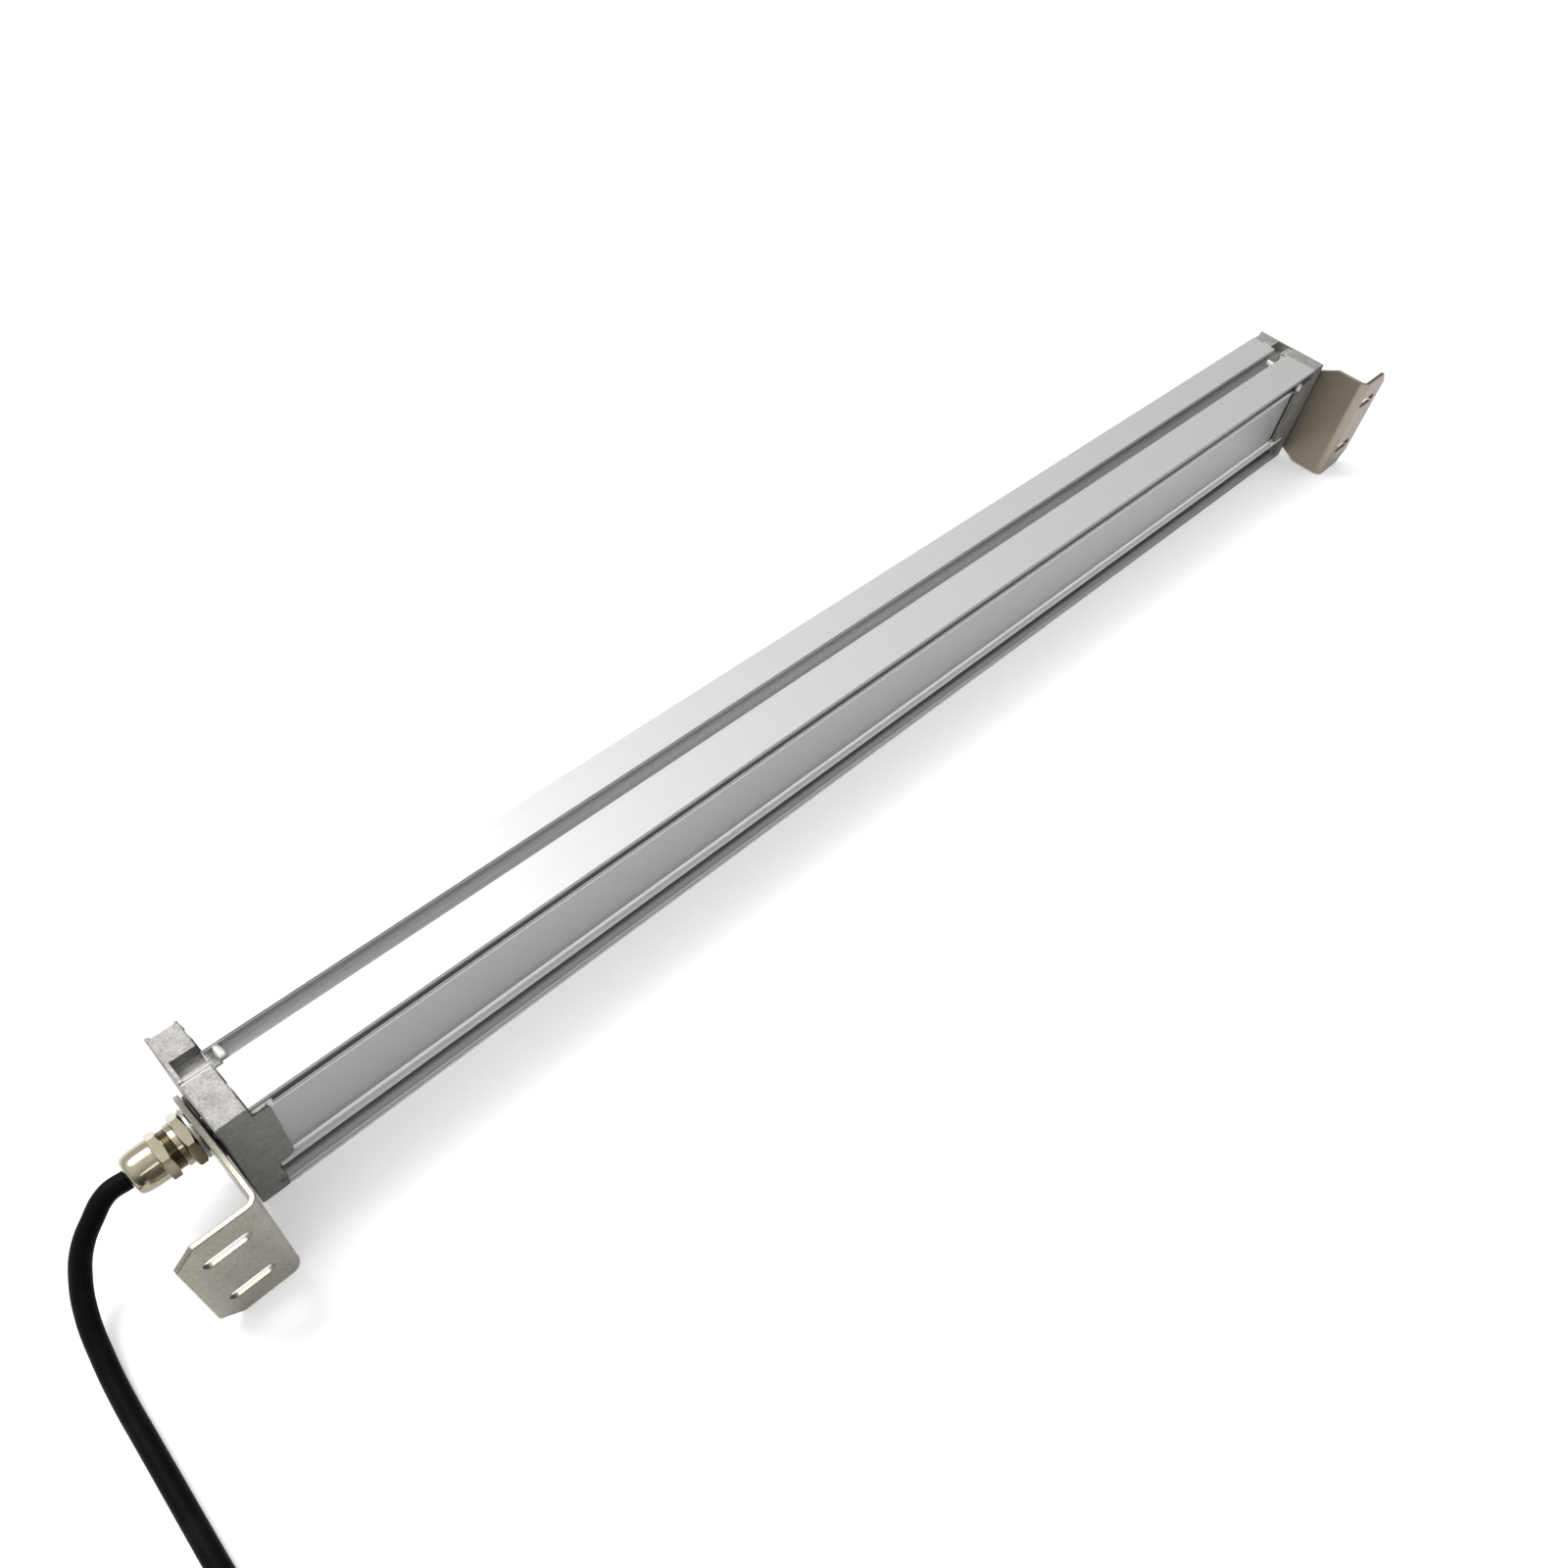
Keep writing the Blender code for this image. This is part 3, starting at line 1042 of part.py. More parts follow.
def make_lead_cores(tip, onwards):
    """The bare cores at the cable's end, which lie on the coil's lower layer, each with its ferrule."""
    aside = Vector((onwards.y, -onwards.x, 0))
    lying = COIL_BASE + (COIL_LAYERS - 2) * COIL_PITCH + CABLE_RADIUS + FIT + CORE_RADIUS
    turn_length = 2 * math.pi * (tip - COIL_CENTRE).xy.length
    for place, name in ((-1, "brown"), (0, "blue"), (1, "green_yellow")):
        start = tip + FIT * onwards + place * CORE_SPACING * aside
        knots = [start + CABLE_RADIUS * onwards]
        for travelled in np.arange(LEAD_CORE_DROP, LEAD_CORE_LENGTH, LEAD_CORE_DROP / 2):
            knot = coil_place(COIL_TURNS + (CABLE_DIAMETER + travelled) / turn_length)
            outwards = Vector((*(knot - COIL_CENTRE).xy.normalized(), 0))
            knot -= place * LEAD_CORE_SPACING * outwards
            knot.z = lying
            knots.append(knot)
        after = 2 * knots[-1] - knots[-2]
        count = round(length_of(knots) / (2 * CORE_RADIUS))
        core = [start, *smooth_route(start, knots, after, count)]
        last = (core[-1] - core[-2]).normalized()
        radii = [CORE_RADIUS] * len(core)
        for length, radius in ((0, FERRULE_COLLAR_RADIUS), (FERRULE_COLLAR_LENGTH, FERRULE_COLLAR_RADIUS)):
            core.append(core[len(radii) - 1] + (length + FIT) * last)
            radii.append(radius)
        for length in (FIT, FERRULE_LENGTH):
            core.append(core[-1] + length * last)
            radii.append(FERRULE_RADIUS)
        tube(f"lead_core_{name}", core, CORE_RADIUS, name, radii=radii)


def rounded_rectangle(low_u, low_v, high_u, high_v, radius):
    outline = []
    corners = ((high_u, high_v, 1, 1), (low_u, high_v, -1, 1), (low_u, low_v, -1, -1), (high_u, low_v, 1, -1))
    for quarter, (u, v, side_u, side_v) in enumerate(corners):
        start = quarter * math.pi / 2
        outline += arc(u - side_u * radius, v - side_v * radius, radius, start, start + math.pi / 2, 3)
    return outline


def make_ties():
    """The bands that hold the coil together. Each stands on the same surface as the lamp."""
    facet = math.cos(math.pi / COIL_POINTS_PER_TURN)
    innermost = COIL_INNER * facet - CABLE_RADIUS
    near = math.sqrt(innermost**2 - (TIE_WIDTH / 2) ** 2) - FIT
    space = (near, TIE_THICKNESS, COIL_OUTER + CABLE_RADIUS + FIT, COIL_TOP + FIT)
    band = (space[0] - TIE_THICKNESS, 0, space[2] + TIE_THICKNESS, space[3] + TIE_THICKNESS)
    half = TIE_WIDTH / 2
    for name, angle in TIE_ANGLES.items():
        outer = rounded_rectangle(*band, TIE_CORNER + TIE_THICKNESS)
        inner = rounded_rectangle(*space, TIE_CORNER)
        tie = prism(name, outer, -half, half, "Y", COIL_CENTRE, "black_nylon")
        inside = prism(f"{name}_space", inner, -half - OVERRUN, half + OVERRUN, "Y", COIL_CENTRE)
        tie.rotation_euler.z = angle
        inside.rotation_euler.z = angle
        cut(tie, inside)


make_housing()
make_window()
make_light_source()
make_driver()
make_ends()
make_brackets()
make_pivots()
make_cable()
make_ties()
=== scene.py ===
"""Looks of the machine work light: an LED lamp in an aluminium extrusion, on two swivel brackets."""

import math

import bpy
import numpy as np
from mathutils import Matrix, Vector, noise


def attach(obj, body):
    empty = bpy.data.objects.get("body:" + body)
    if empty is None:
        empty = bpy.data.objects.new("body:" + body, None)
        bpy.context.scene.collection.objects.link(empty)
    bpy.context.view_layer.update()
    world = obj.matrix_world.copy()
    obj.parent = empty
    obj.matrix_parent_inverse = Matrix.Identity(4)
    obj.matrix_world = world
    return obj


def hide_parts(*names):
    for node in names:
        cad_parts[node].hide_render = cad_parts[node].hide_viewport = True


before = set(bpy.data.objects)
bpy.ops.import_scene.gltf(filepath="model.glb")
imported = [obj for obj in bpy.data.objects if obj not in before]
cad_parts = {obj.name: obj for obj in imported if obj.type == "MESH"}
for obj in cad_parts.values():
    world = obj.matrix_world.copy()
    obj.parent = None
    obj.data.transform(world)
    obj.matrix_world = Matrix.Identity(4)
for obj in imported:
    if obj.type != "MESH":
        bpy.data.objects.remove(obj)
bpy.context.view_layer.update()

bpy.ops.object.select_all(action="DESELECT")


# Camera
# It stands over the cable's end, close to the lamp, and looks down along it towards the far end,
# through a wide lens. The frame is shifted up a little.
camera = bpy.data.objects.new("camera", bpy.data.cameras.new("camera"))
bpy.context.scene.collection.objects.link(camera)
camera.location = (-0.3591, -0.2250, 0.4303)
camera.rotation_euler = [math.radians(turn) for turn in (36.188, -5.906, -45.175)]
camera.data.lens = 27.79
camera.data.sensor_width = 36
camera.data.shift_y = 0.0425
camera.data.clip_start = 0.01
bpy.context.scene.camera = camera
bpy.context.scene.view_settings.view_transform = "Standard"


# Cable
# A 7 mm machine cable with a black oil-proof sheath over three cores. It leaves the gland straight,
# drops to the bench, and its spare length lies in a coil of four layers behind the camera.
class Field:
    """A value that varies over a surface. Arithmetic on it adds the Math nodes that work it out."""

    def __init__(self, nodes, socket):
        self.nodes = nodes
        self.socket = socket

    def maths(self, operation, *values):
        return self.nodes.node("Math", {"operation": operation}, dict(enumerate(values)))

    def __add__(self, other):
        return self.maths("ADD", self, other)

    def __radd__(self, other):
        return self.maths("ADD", other, self)

    def __sub__(self, other):
        return self.maths("SUBTRACT", self, other)

    def __rsub__(self, other):
        return self.maths("SUBTRACT", other, self)

    def __mul__(self, other):
        return self.maths("MULTIPLY", self, other)

    def __rmul__(self, other):
        return self.maths("MULTIPLY", other, self)

    def __or__(self, other):
        return self.maths("MAXIMUM", self, other)

    def between(self, low, high):
        """0 below low and 1 above high, with a smooth change from one to the other."""
        sockets = {"Value": self, "From Min": low, "From Max": high}
        return self.nodes.node("MapRange", {"interpolation_type": "SMOOTHSTEP"}, sockets)

    def band(self, start, full, fading, end):
        """1 from full to fading, and 0 below start and above end."""
        return self.between(start, full) * self.between(end, fading)


class Nodes:
    """The nodes of a material or of the room, around the shader that they feed."""

    def __init__(self, owner, shader, place):
        owner.use_nodes = True
        self.tree = owner.node_tree
        self.shader = self.tree.nodes[shader]
        self.place = self.node("TexCoord", {}, {}, place)

    def node(self, kind, settings, sockets, output=0):
        node = self.tree.nodes.new("ShaderNode" + kind)
        for name, value in settings.items():
            setattr(node, name, value)
        for name, value in sockets.items():
            self.join(node.inputs[name], value)
        return Field(self, node.outputs[output])

    def join(self, socket, value):
        if isinstance(value, Field):
            self.tree.links.new(value.socket, socket)
        else:
            socket.default_value = value

    def set(self, socket, value):
        self.join(self.shader.inputs[socket], value)

    def along(self, axis):
        """The place along X, Y or Z, as 0, 1 or 2. On the lamp it is in metres."""
        return self.node("SeparateXYZ", {}, {0: self.place}, axis)

    def ray(self, kind):
        """1 for rays of this kind, such as Camera or Glossy, and 0 for others."""
        return self.node("LightPath", {}, {}, f"Is {kind} Ray")


class Finish(Nodes):
    """A surface's material."""

    def __init__(self, name, colour, roughness, metallic=0.0, **fixed):
        self.material = bpy.data.materials.new(name)
        super().__init__(self.material, "Principled BSDF", "Object")
        self.set("Base Color", (*colour, 1))
        self.set("Roughness", roughness)
        self.set("Metallic", metallic)
        for socket, value in fixed.items():
            self.set(socket.replace("_", " "), value)
        self.material.diffuse_color = (*colour, 1)

    def grain(self, scale, stretch=(1, 1, 1), detail=2.0, roughness=0.5):
        """Soft noise with scale blobs to the metre, drawn out where stretch is small."""
        at = self.node("Mapping", {}, {"Vector": self.place, "Scale": stretch})
        sockets = {"Vector": at, "Scale": scale, "Detail": detail, "Roughness": roughness}
        return self.node("TexNoise", {}, sockets, "Fac")

    def inside(self, low, high, blur=0.0001):
        """1 inside the box between two corners and 0 outside it, with a soft edge blur metres each way."""
        share = 1
        for axis, (start, end) in enumerate(zip(low, high)):
            at = self.along(axis)
            share = share * at.between(start - blur, start + blur) * at.between(end + blur, end - blur)
        return share

    def mix(self, share, first, second):
        """The first colour where share is 0 and the second where it is 1."""
        colours = [c if isinstance(c, Field) else (*c, 1) for c in (first, second)]
        sockets = {0: share, 6: colours[0], 7: colours[1]}
        return self.node("Mix", {"data_type": "RGBA"}, sockets, 2)

    def relief(self, height, depth, strength=1.0):
        """A bump whose height of 1 stands depth metres out."""
        sockets = {"Height": height, "Distance": depth, "Strength": strength}
        self.set("Normal", self.node("Bump", {}, sockets))


CABLE_RADIUS = 0.0035
CABLE_EXIT = (-0.3773, 0, 0.031)
COIL_PITCH = 0.0076
COIL_OUTER = 0.05245
COIL_BASE = 0.0048
COIL_CENTRE = Vector((-0.47045, -0.171, 0))
COIL_TURNS = 10.6
COIL_LAYERS = 4
TURNS_PER_LAYER = 2.75
CLIMB_TURNS = 0.5
POINTS_PER_TURN = 16
SHEATH_END = 0.007


def coil_place(turn):
    """A place on the coil, which winds clockwise, spirals in and out, and climbs at each reversal."""
    layer = math.floor(turn / TURNS_PER_LAYER)
    across = turn / TURNS_PER_LAYER - layer
    if layer % 2:
        across = 1 - across
    radius = COIL_OUTER - across * TURNS_PER_LAYER * COIL_PITCH
    level = 0
    for reversal in range(1, COIL_LAYERS):
        late = turn - reversal * TURNS_PER_LAYER
        level += min(max(late / CLIMB_TURNS + 0.5, 0), 1)
    angle = -2 * math.pi * turn
    return COIL_CENTRE + Vector(
        (radius * math.cos(angle), radius * math.sin(angle), COIL_BASE + level * COIL_PITCH)
    )


def cord_curve(name, points, radius):
    """A round cord on one smooth spline through its points."""
    curve = bpy.data.curves.new(name, "CURVE")
    curve.dimensions = "3D"
    spline = curve.splines.new("BEZIER")
    spline.bezier_points.add(len(points) - 1)
    for knot, point in zip(spline.bezier_points, points):
        knot.co = point
        knot.handle_left_type = knot.handle_right_type = "AUTO"
    spline.resolution_u = 6
    curve.bevel_depth = radius
    curve.bevel_resolution = 6
    curve.use_fill_caps = True
    cord = bpy.data.objects.new(name, curve)
    bpy.context.scene.collection.objects.link(cord)
    return cord


cable_route = [
    CABLE_EXIT,
    (-0.3843, 0, 0.031),
    (-0.3920, -0.0028, 0.0273),
    (-0.3987, -0.0062, 0.0226),
    (-0.4043, -0.0115, 0.0165),
    (-0.4092, -0.0205, 0.0102),
    (-0.4125, -0.0345, 0.0056),
    (-0.4143, -0.0494, 0.0038),
    (-0.4151, -0.0644, 0.0036),
    (-0.4159, -0.0805, 0.0036),
    (-0.4167, -0.0960, 0.0036),
    (-0.4174, -0.1110, 0.0037),
    (-0.4178, -0.1250, 0.0041),
    (-0.4180, -0.1400, 0.0046),
    (-0.4180, -0.1567, 0.0048),
]
coil_points = round(COIL_TURNS * POINTS_PER_TURN) + 1
cable_route += [coil_place(turn) for turn in np.linspace(0, COIL_TURNS, coil_points)]
onwards = (cable_route[-1] - cable_route[-2]).normalized()
cable_route.append(cable_route[-1] + SHEATH_END * onwards)
cable = cord_curve("cable", cable_route, CABLE_RADIUS)

sheath = Finish("black_sheath", (0.005, 0.005, 0.005), 0.42, Specular_IOR_Level=0.03)
sheath_grain = sheath.grain(5200, detail=3)
sheath_handled = sheath.grain(70, detail=3)
sheath.set("Roughness", 0.36 + 0.16 * sheath_handled + 0.05 * sheath_grain)
sheath_worn = sheath.mix(sheath_handled.between(0.45, 0.8), (0.003, 0.003, 0.0035), (0.007, 0.0065, 0.0065))
sheath.set("Base Color", sheath_worn)
sheath.relief(sheath_grain, 0.00006, 0.6)
cable.data.materials.append(sheath.material)
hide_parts("cable_lead", "cable_coil")
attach(cable, "lamp")
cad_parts["cable_entry"].data.materials[0] = sheath.material


# Bench and room
# A plain white bench, a hair below the lamp, in a room that is bright overhead and on the window's side
# and dim on the panel's side. One large soft lamp hangs on the window's side and a long one opposite.
BENCH_SIZE = 8
BENCH_GAP = 0.0002
bpy.ops.mesh.primitive_plane_add(size=BENCH_SIZE, location=(0, 0, -BENCH_GAP))
bench = bpy.context.object
bench.name = "bench"
bench_white = Finish("bench_white", (0.80, 0.80, 0.80), 0.6)
bench_white.set("Emission Color", (1, 1, 1, 1))
seen = bench_white.ray("Camera") | bench_white.ray("Transmission")
bench_white.set("Emission Strength", 0.26 * (seen | bench_white.ray("Glossy")))
bench.data.materials.append(bench_white.material)

bpy.context.scene.world = bpy.data.worlds.new("room")
room = Nodes(bpy.context.scene.world, "Background", "Generated")
window_side = (room.along(1) + 0.85 * room.along(2) - 0.45 * room.along(0)).between(-0.65, 1.05)
room.set("Color", (1, 1, 1, 1))
overhead = window_side * room.along(2).between(0.47, 0.72)
plain = room.ray("Camera") | room.ray("Transmission")
room.set("Strength", plain + (1 - plain) * (0.13 + 0.87 * window_side + 0.38 * overhead))


def soft_lamp(name, place, aim, size, power, length=None):
    lamp = bpy.data.objects.new(name, bpy.data.lights.new(name, "AREA"))
    bpy.context.scene.collection.objects.link(lamp)
    lamp.location = place
    lamp.rotation_euler = (Vector(aim) - Vector(place)).to_track_quat("-Z", "Y").to_euler()
    lamp.data.shape = "ELLIPSE"
    lamp.data.size = length or size
    lamp.data.size_y = size
    lamp.data.energy = power


soft_lamp("high_lamp", place=(-0.60, 1.20, 2.00), aim=(-0.2, 0, 0), size=1.3, power=42)
soft_lamp("long_lamp", place=(0.60, -1.80, 2.10), aim=(0, 0, 0), size=0.45, power=16, length=4.2)


# Housing
# One aluminium extrusion, anodised in its natural colour. The die leaves fine lines along it, the
# T-slot's lips and the edges of the recess are slightly rounded, and its ends are sawn.
SHARPEST_CURVE = math.radians(35)
SAME_CORNER = 0.000002
SAME_PLANE = math.radians(0.5)


def skinned(node, name, slot, edge, steps=2, body="lamp"):
    """A clean copy of a CAD node with its sharp edges broken, which takes the node's place."""
    piece = bpy.data.objects.new(name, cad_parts[node].data.copy())
    bpy.context.scene.collection.objects.link(piece)
    piece.data.materials.clear()
    select_only(piece)
    bpy.ops.object.mode_set(mode="EDIT")
    bpy.ops.mesh.select_all(action="SELECT")
    bpy.ops.mesh.remove_doubles(threshold=SAME_CORNER)
    bpy.ops.mesh.dissolve_limited(angle_limit=SAME_PLANE)
    bpy.ops.object.mode_set(mode="OBJECT")
    bpy.ops.object.shade_smooth_by_angle(angle=SHARPEST_CURVE)
    if edge:
        broken = piece.modifiers.new("broken_edges", "BEVEL")
        broken.width = edge
        broken.segments = steps
        broken.limit_method = "ANGLE"
        broken.angle_limit = SHARPEST_CURVE
        bpy.ops.object.modifier_apply(modifier=broken.name)
        flats = piece.modifiers.new("flat_faces", "WEIGHTED_NORMAL")
        flats.keep_sharp = True
        bpy.ops.object.modifier_apply(modifier=flats.name)
    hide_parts(node)
    return fitted(piece, slot, body)


def select_only(piece):
    bpy.ops.object.select_all(action="DESELECT")
    piece.select_set(True)
    bpy.context.view_layer.objects.active = piece


def fitted(piece, slot, body="lamp", finish=None):
    """Gives a finished piece its material, by the record's slot, and the body that it rides on."""
    piece.data.materials.append((finish or finishes[slot]).material)
    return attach(piece, body)


anodised = Finish("anodised", (0.54, 0.545, 0.55), 0.4, 0.7)
die_lines = anodised.grain(1, (2.5, 2600, 2600), 3, 0.6)
broad_lines = anodised.grain(1, (1.2, 420, 420), 2)
film = anodised.grain(1400, detail=3, roughness=0.6)
over_x, over_y, over_z = (anodised.along(axis) for axis in (0, 1, 2))
# The faces of the section on which light and shade are painted into the colour, in metres from the lamp's
# middle.
near_face = over_y.between(-0.0171, -0.0174)
panel = near_face * over_z.band(0.0178, 0.0182, 0.0506, 0.0510)
panel_edge = near_face * over_z.band(0.0506, 0.0508, 0.0513, 0.0515)
ledge = near_face * over_z.band(0.0150, 0.0153, 0.0181, 0.0184)
ledge_highlight = ledge * over_z.between(0.0171, 0.0173) * over_y.between(-0.0199, -0.0196)
foot_far = near_face * over_z.between(0.0049, 0.0046) * over_x.between(-0.02, 0.34)
slot_inside = over_y.band(-0.0033, -0.0031, 0.0077, 0.0079) * over_z.between(0.0618, 0.0615)
slot_far_wall = over_y.between(0.0026, 0.0056) * (1 - 0.55 * over_x.between(-0.08, 0.25))
far_lip = over_y.band(0.0057, 0.0059, 0.0062, 0.0064) * over_z.band(0.0600, 0.0602, 0.0612, 0.0614)
# Painted shade: dark under the lip, in the cove under the ledge and in the joints with the caps.
under_lip = near_face * over_z.band(0.0513, 0.0515, 0.0605, 0.0618)
cove = over_y.between(-0.0150, -0.0152) * over_z.band(0.0046, 0.0048, 0.0153, 0.0156)
under_ledge = cove * over_y.between(-0.0206, -0.0180)
far_joint = near_face * over_x.between(0.3262, 0.3264) * over_z.band(0.0185, 0.0190, 0.0510, 0.0515)
slot_end = over_x.between(-0.3357, -0.3360) * over_y.band(-0.0026, -0.0024, -0.0014, -0.0013)
painted_shade = under_lip | far_joint | 0.9 * under_ledge | slot_end
bare = anodised.mix(0.5 * die_lines + 0.5 * film, (0.43, 0.433, 0.44), (0.55, 0.553, 0.56))
# Painted light and shade in the T-slot: dark on its near side, lighter up its far wall, less so towards the
# far end.
slot_painted_light = anodised.mix(slot_far_wall, (0.20, 0.20, 0.205), (0.56, 0.56, 0.56))
# Painted shade: the panel darker than the rest, and the foot darker and darker towards the far end.
panel_foot_shaded = anodised.mix(0.9 * panel | 0.85 * foot_far, bare, (0.37, 0.373, 0.38))
far_foot_shaded = anodised.mix(0.6 * foot_far, panel_foot_shaded, (0.16, 0.16, 0.165))
slotted = anodised.mix(slot_inside, far_foot_shaded, slot_painted_light)
# The painted shade darkens the colour nearly to black.
with_painted_shade = anodised.mix(painted_shade, slotted, (0.05, 0.05, 0.055))
# Painted light: the ledge's top is pale and not metallic, so that it shows bright.
with_painted_light = anodised.mix(ledge, with_painted_shade, (0.55, 0.55, 0.55))
# Painted highlights: near-white lines on the panel's top edge, on the ledge and on the T-slot's far lip.
anodised.set("Base Color", anodised.mix(panel_edge | ledge_highlight | far_lip, with_painted_light, (0.96, 0.96, 0.95)))
anodised.set("Metallic", 0.72 - 0.35 * slot_inside - 0.72 * (panel_edge | ledge))
anodised.set("Roughness", 0.33 + 0.10 * die_lines + 0.12 * film)
anodised.relief(die_lines + 0.4 * broad_lines, 0.00003, 0.5)
finishes = {"anodised": anodised, "black_sheath": sheath}
skinned("housing_extrusion", "housing", "anodised", 0.00018)


# Window and seals
# A toughened pane, slid into its groove from the end and bedded on a pale silicone strip along each
# long edge. The strips' faces are slightly uneven where they are cut.
glass = Finish("glass", (0.93, 0.97, 0.96), 0.03, Transmission_Weight=1.0, IOR=1.5)
glass.set("Roughness", 0.02 + 0.05 * glass.grain(30, detail=4))
finishes["glass"] = glass
skinned("window_glass", "pane", "glass", 0.0003)

silicone = Finish("silicone", (0.68, 0.67, 0.59), 0.5)
silicone_skin = silicone.grain(900, detail=3)
silicone.set("Base Color", silicone.mix(silicone_skin, (0.60, 0.59, 0.51), (0.76, 0.75, 0.67)))
silicone.relief(silicone_skin, 0.00012, 0.6)
finishes["silicone"] = silicone
for level in ("lower", "upper"):
    skinned(f"window_seal_{level}", f"seal_strip_{level}", "silicone", 0.00012)


# End caps and their gaskets
# Die-cast in aluminium and tumbled, so their faces are grey and finely mottled and every edge is soft.
# Each cap is screwed to the extrusion over a silicone gasket, which squeezes out a little beside it.
cast = Finish("die_cast", (0.33, 0.32, 0.305), 0.6, 0.6)
cast_grain = cast.grain(950, detail=5, roughness=0.65)
cast_clouds = cast.grain(230, detail=4)
pits = cast.grain(1700, detail=2).between(0.64, 0.72)
mottle = 0.65 * cast_grain + 0.35 * cast_clouds
cast_skin = cast.mix(mottle.between(0.36, 0.64), (0.20, 0.195, 0.183), (0.37, 0.36, 0.345))
cast_pitted = cast.mix(0.6 * pits, cast_skin, (0.20, 0.195, 0.18))
# Painted shade: the caps' sides towards the panel are darker.
panel_side = cast.along(1).between(-0.0204, -0.0210)
cast_side_shaded = cast.mix(0.5 * panel_side, cast_pitted, (0.11, 0.108, 0.10))
# The step in the cap's top: a painted shade line at its foot, between two edges with painted highlights.
step_foot = cast.inside((-1, -0.0003, 0.0605), (1, 0.0002, 0.0625))
step_edge = cast.inside((-1, -0.0010, 0.0610), (1, -0.0003, 0.0630))
groove_edge = cast.inside((-1, 0.0008, 0.0605), (1, 0.0013, 0.0625))
step_shaded = cast.mix(step_foot, cast_side_shaded, (0.03, 0.03, 0.03))
cast.set("Base Color", cast.mix(step_edge | groove_edge, step_shaded, (0.42, 0.41, 0.39)))
cast.set("Roughness", 0.50 + 0.24 * mottle)
cast.relief(cast_grain - 0.6 * pits, 0.00009, 0.8)
finishes["die_cast"] = cast
zinc = Finish("zinc_steel", (0.34, 0.33, 0.31), 0.3, 1.0)
zinc_spots = zinc.grain(700, detail=4)
zinc.set("Base Color", zinc.mix(zinc_spots, (0.27, 0.26, 0.24), (0.42, 0.41, 0.39)))
zinc.set("Roughness", 0.36 + 0.2 * zinc_spots)
finishes["zinc_steel"] = zinc
BEAD_ROUNDING = 0.42
BEAD_LUMPS = 0.0006
LUMPS_PER_METRE = 380
BEAD_SEED = 4
# The part of the far cap that laps over the panel, and how much further it reaches than in the CAD.
TONGUE_TIP = 0.3350
TONGUE_FACE = -0.0177
TONGUE_FOOT = 0.018
TONGUE_GROWTH = 0.0046


def squeezed_bead(name, place, size):
    """A bead of silicone that has squeezed out of a joint: a soft block with uneven sides."""
    bpy.ops.object.select_all(action="DESELECT")
    bpy.ops.mesh.primitive_cube_add(size=1, location=place, scale=size)
    bead = bpy.context.object
    bead.name = bead.data.name = name
    bpy.ops.object.transform_apply()
    rounded = bead.modifiers.new("rounded", "BEVEL")
    rounded.width = BEAD_ROUNDING * min(size)
    rounded.segments = 3
    bpy.ops.object.modifier_apply(modifier=rounded.name)
    softened = bead.modifiers.new("softened", "SUBSURF")
    softened.levels = softened.render_levels = 1
    bpy.ops.object.modifier_apply(modifier=softened.name)
    for corner in bead.data.vertices:
        corner.co += BEAD_LUMPS * noise.noise_vector(corner.co * LUMPS_PER_METRE)
    bpy.ops.object.shade_smooth()
    return fitted(bead, "silicone")


noise.seed_set(BEAD_SEED)
squeezed_bead("slot_bead_cable_end", (-0.3348, 0.0040, 0.0586), (0.0030, 0.0066, 0.0052))
squeezed_bead("tongue_bead_cable_end", (-0.3325, -0.0196, 0.0567), (0.0026, 0.0032, 0.0064))
squeezed_bead("tongue_fillet_cable_end", (-0.3362, -0.0196, 0.0580), (0.0056, 0.0030, 0.0040))
squeezed_bead("slot_bead_blind_end", (0.3280, 0.0012, 0.0590), (0.0022, 0.0046, 0.0030))
squeezed_bead("tongue_bead_blind_end", (0.3270, -0.0202, 0.0557), (0.0032, 0.0030, 0.0046))
squeezed_bead("ledge_bead_blind_end", (0.3270, -0.0202, 0.0176), (0.0026, 0.0026, 0.0022))
for end in ("cable_end", "blind_end"):
    casting = skinned(f"{end}_cap", f"{end}_casting", "die_cast", 0.0002)
    if end == "blind_end":
        for corner in casting.data.vertices:
            x, y, z = corner.co
            if x < TONGUE_TIP and y < TONGUE_FACE and z > TONGUE_FOOT:
                corner.co.x -= TONGUE_GROWTH
    skinned(f"{end}_gasket", f"{end}_seal", "silicone", 0.0001, 1)
    for number in (1, 2, 3, 4):
        skinned(f"cap_screw_{end}_{number}", f"countersunk_{end}_{number}", "zinc_steel", 0.00012)


# Swivel brackets
# Cut from 2 mm stainless sheet, deburred and bent, with the sheet's dull grain running up and down.
# The far bracket's leg is painted browner than the near one's, a painted reflection, and its flange darker,
# painted shade.
stainless = Finish("stainless", (0.29, 0.27, 0.225), 0.36, 1.0)
sheet_grain = stainless.grain(1, (2200, 2200, 160), 3, 0.6)
sheet_clouds = stainless.grain(55, detail=5)
speckle = stainless.grain(1500, detail=4, roughness=0.6)
tone = 0.6 * speckle + 0.4 * sheet_clouds
sheet_skin = stainless.mix(tone.between(0.34, 0.66), (0.185, 0.170, 0.134), (0.31, 0.293, 0.254))
far_leg = stainless.along(0).between(0.345, 0.351)
far_flange = stainless.along(0).between(0.3536, 0.3550)
# Painted reflection and shade on the far bracket: a browner leg and a darker flange.
leg_painted_reflection = stainless.mix(0.85 * far_leg, sheet_skin, (0.31, 0.27, 0.215))
stainless.set("Base Color", stainless.mix(0.85 * far_flange, leg_painted_reflection, (0.175, 0.142, 0.106)))
stainless.set("Roughness", 0.26 + 0.14 * tone + 0.10 * sheet_grain)
stainless.relief(sheet_grain + speckle, 0.00003, 0.5)
finishes["stainless"] = stainless
for end in ("cable_end", "blind_end"):
    skinned(f"bracket_{end}", f"angle_bracket_{end}", "stainless", 0.00035, 3, f"bracket_{end}")


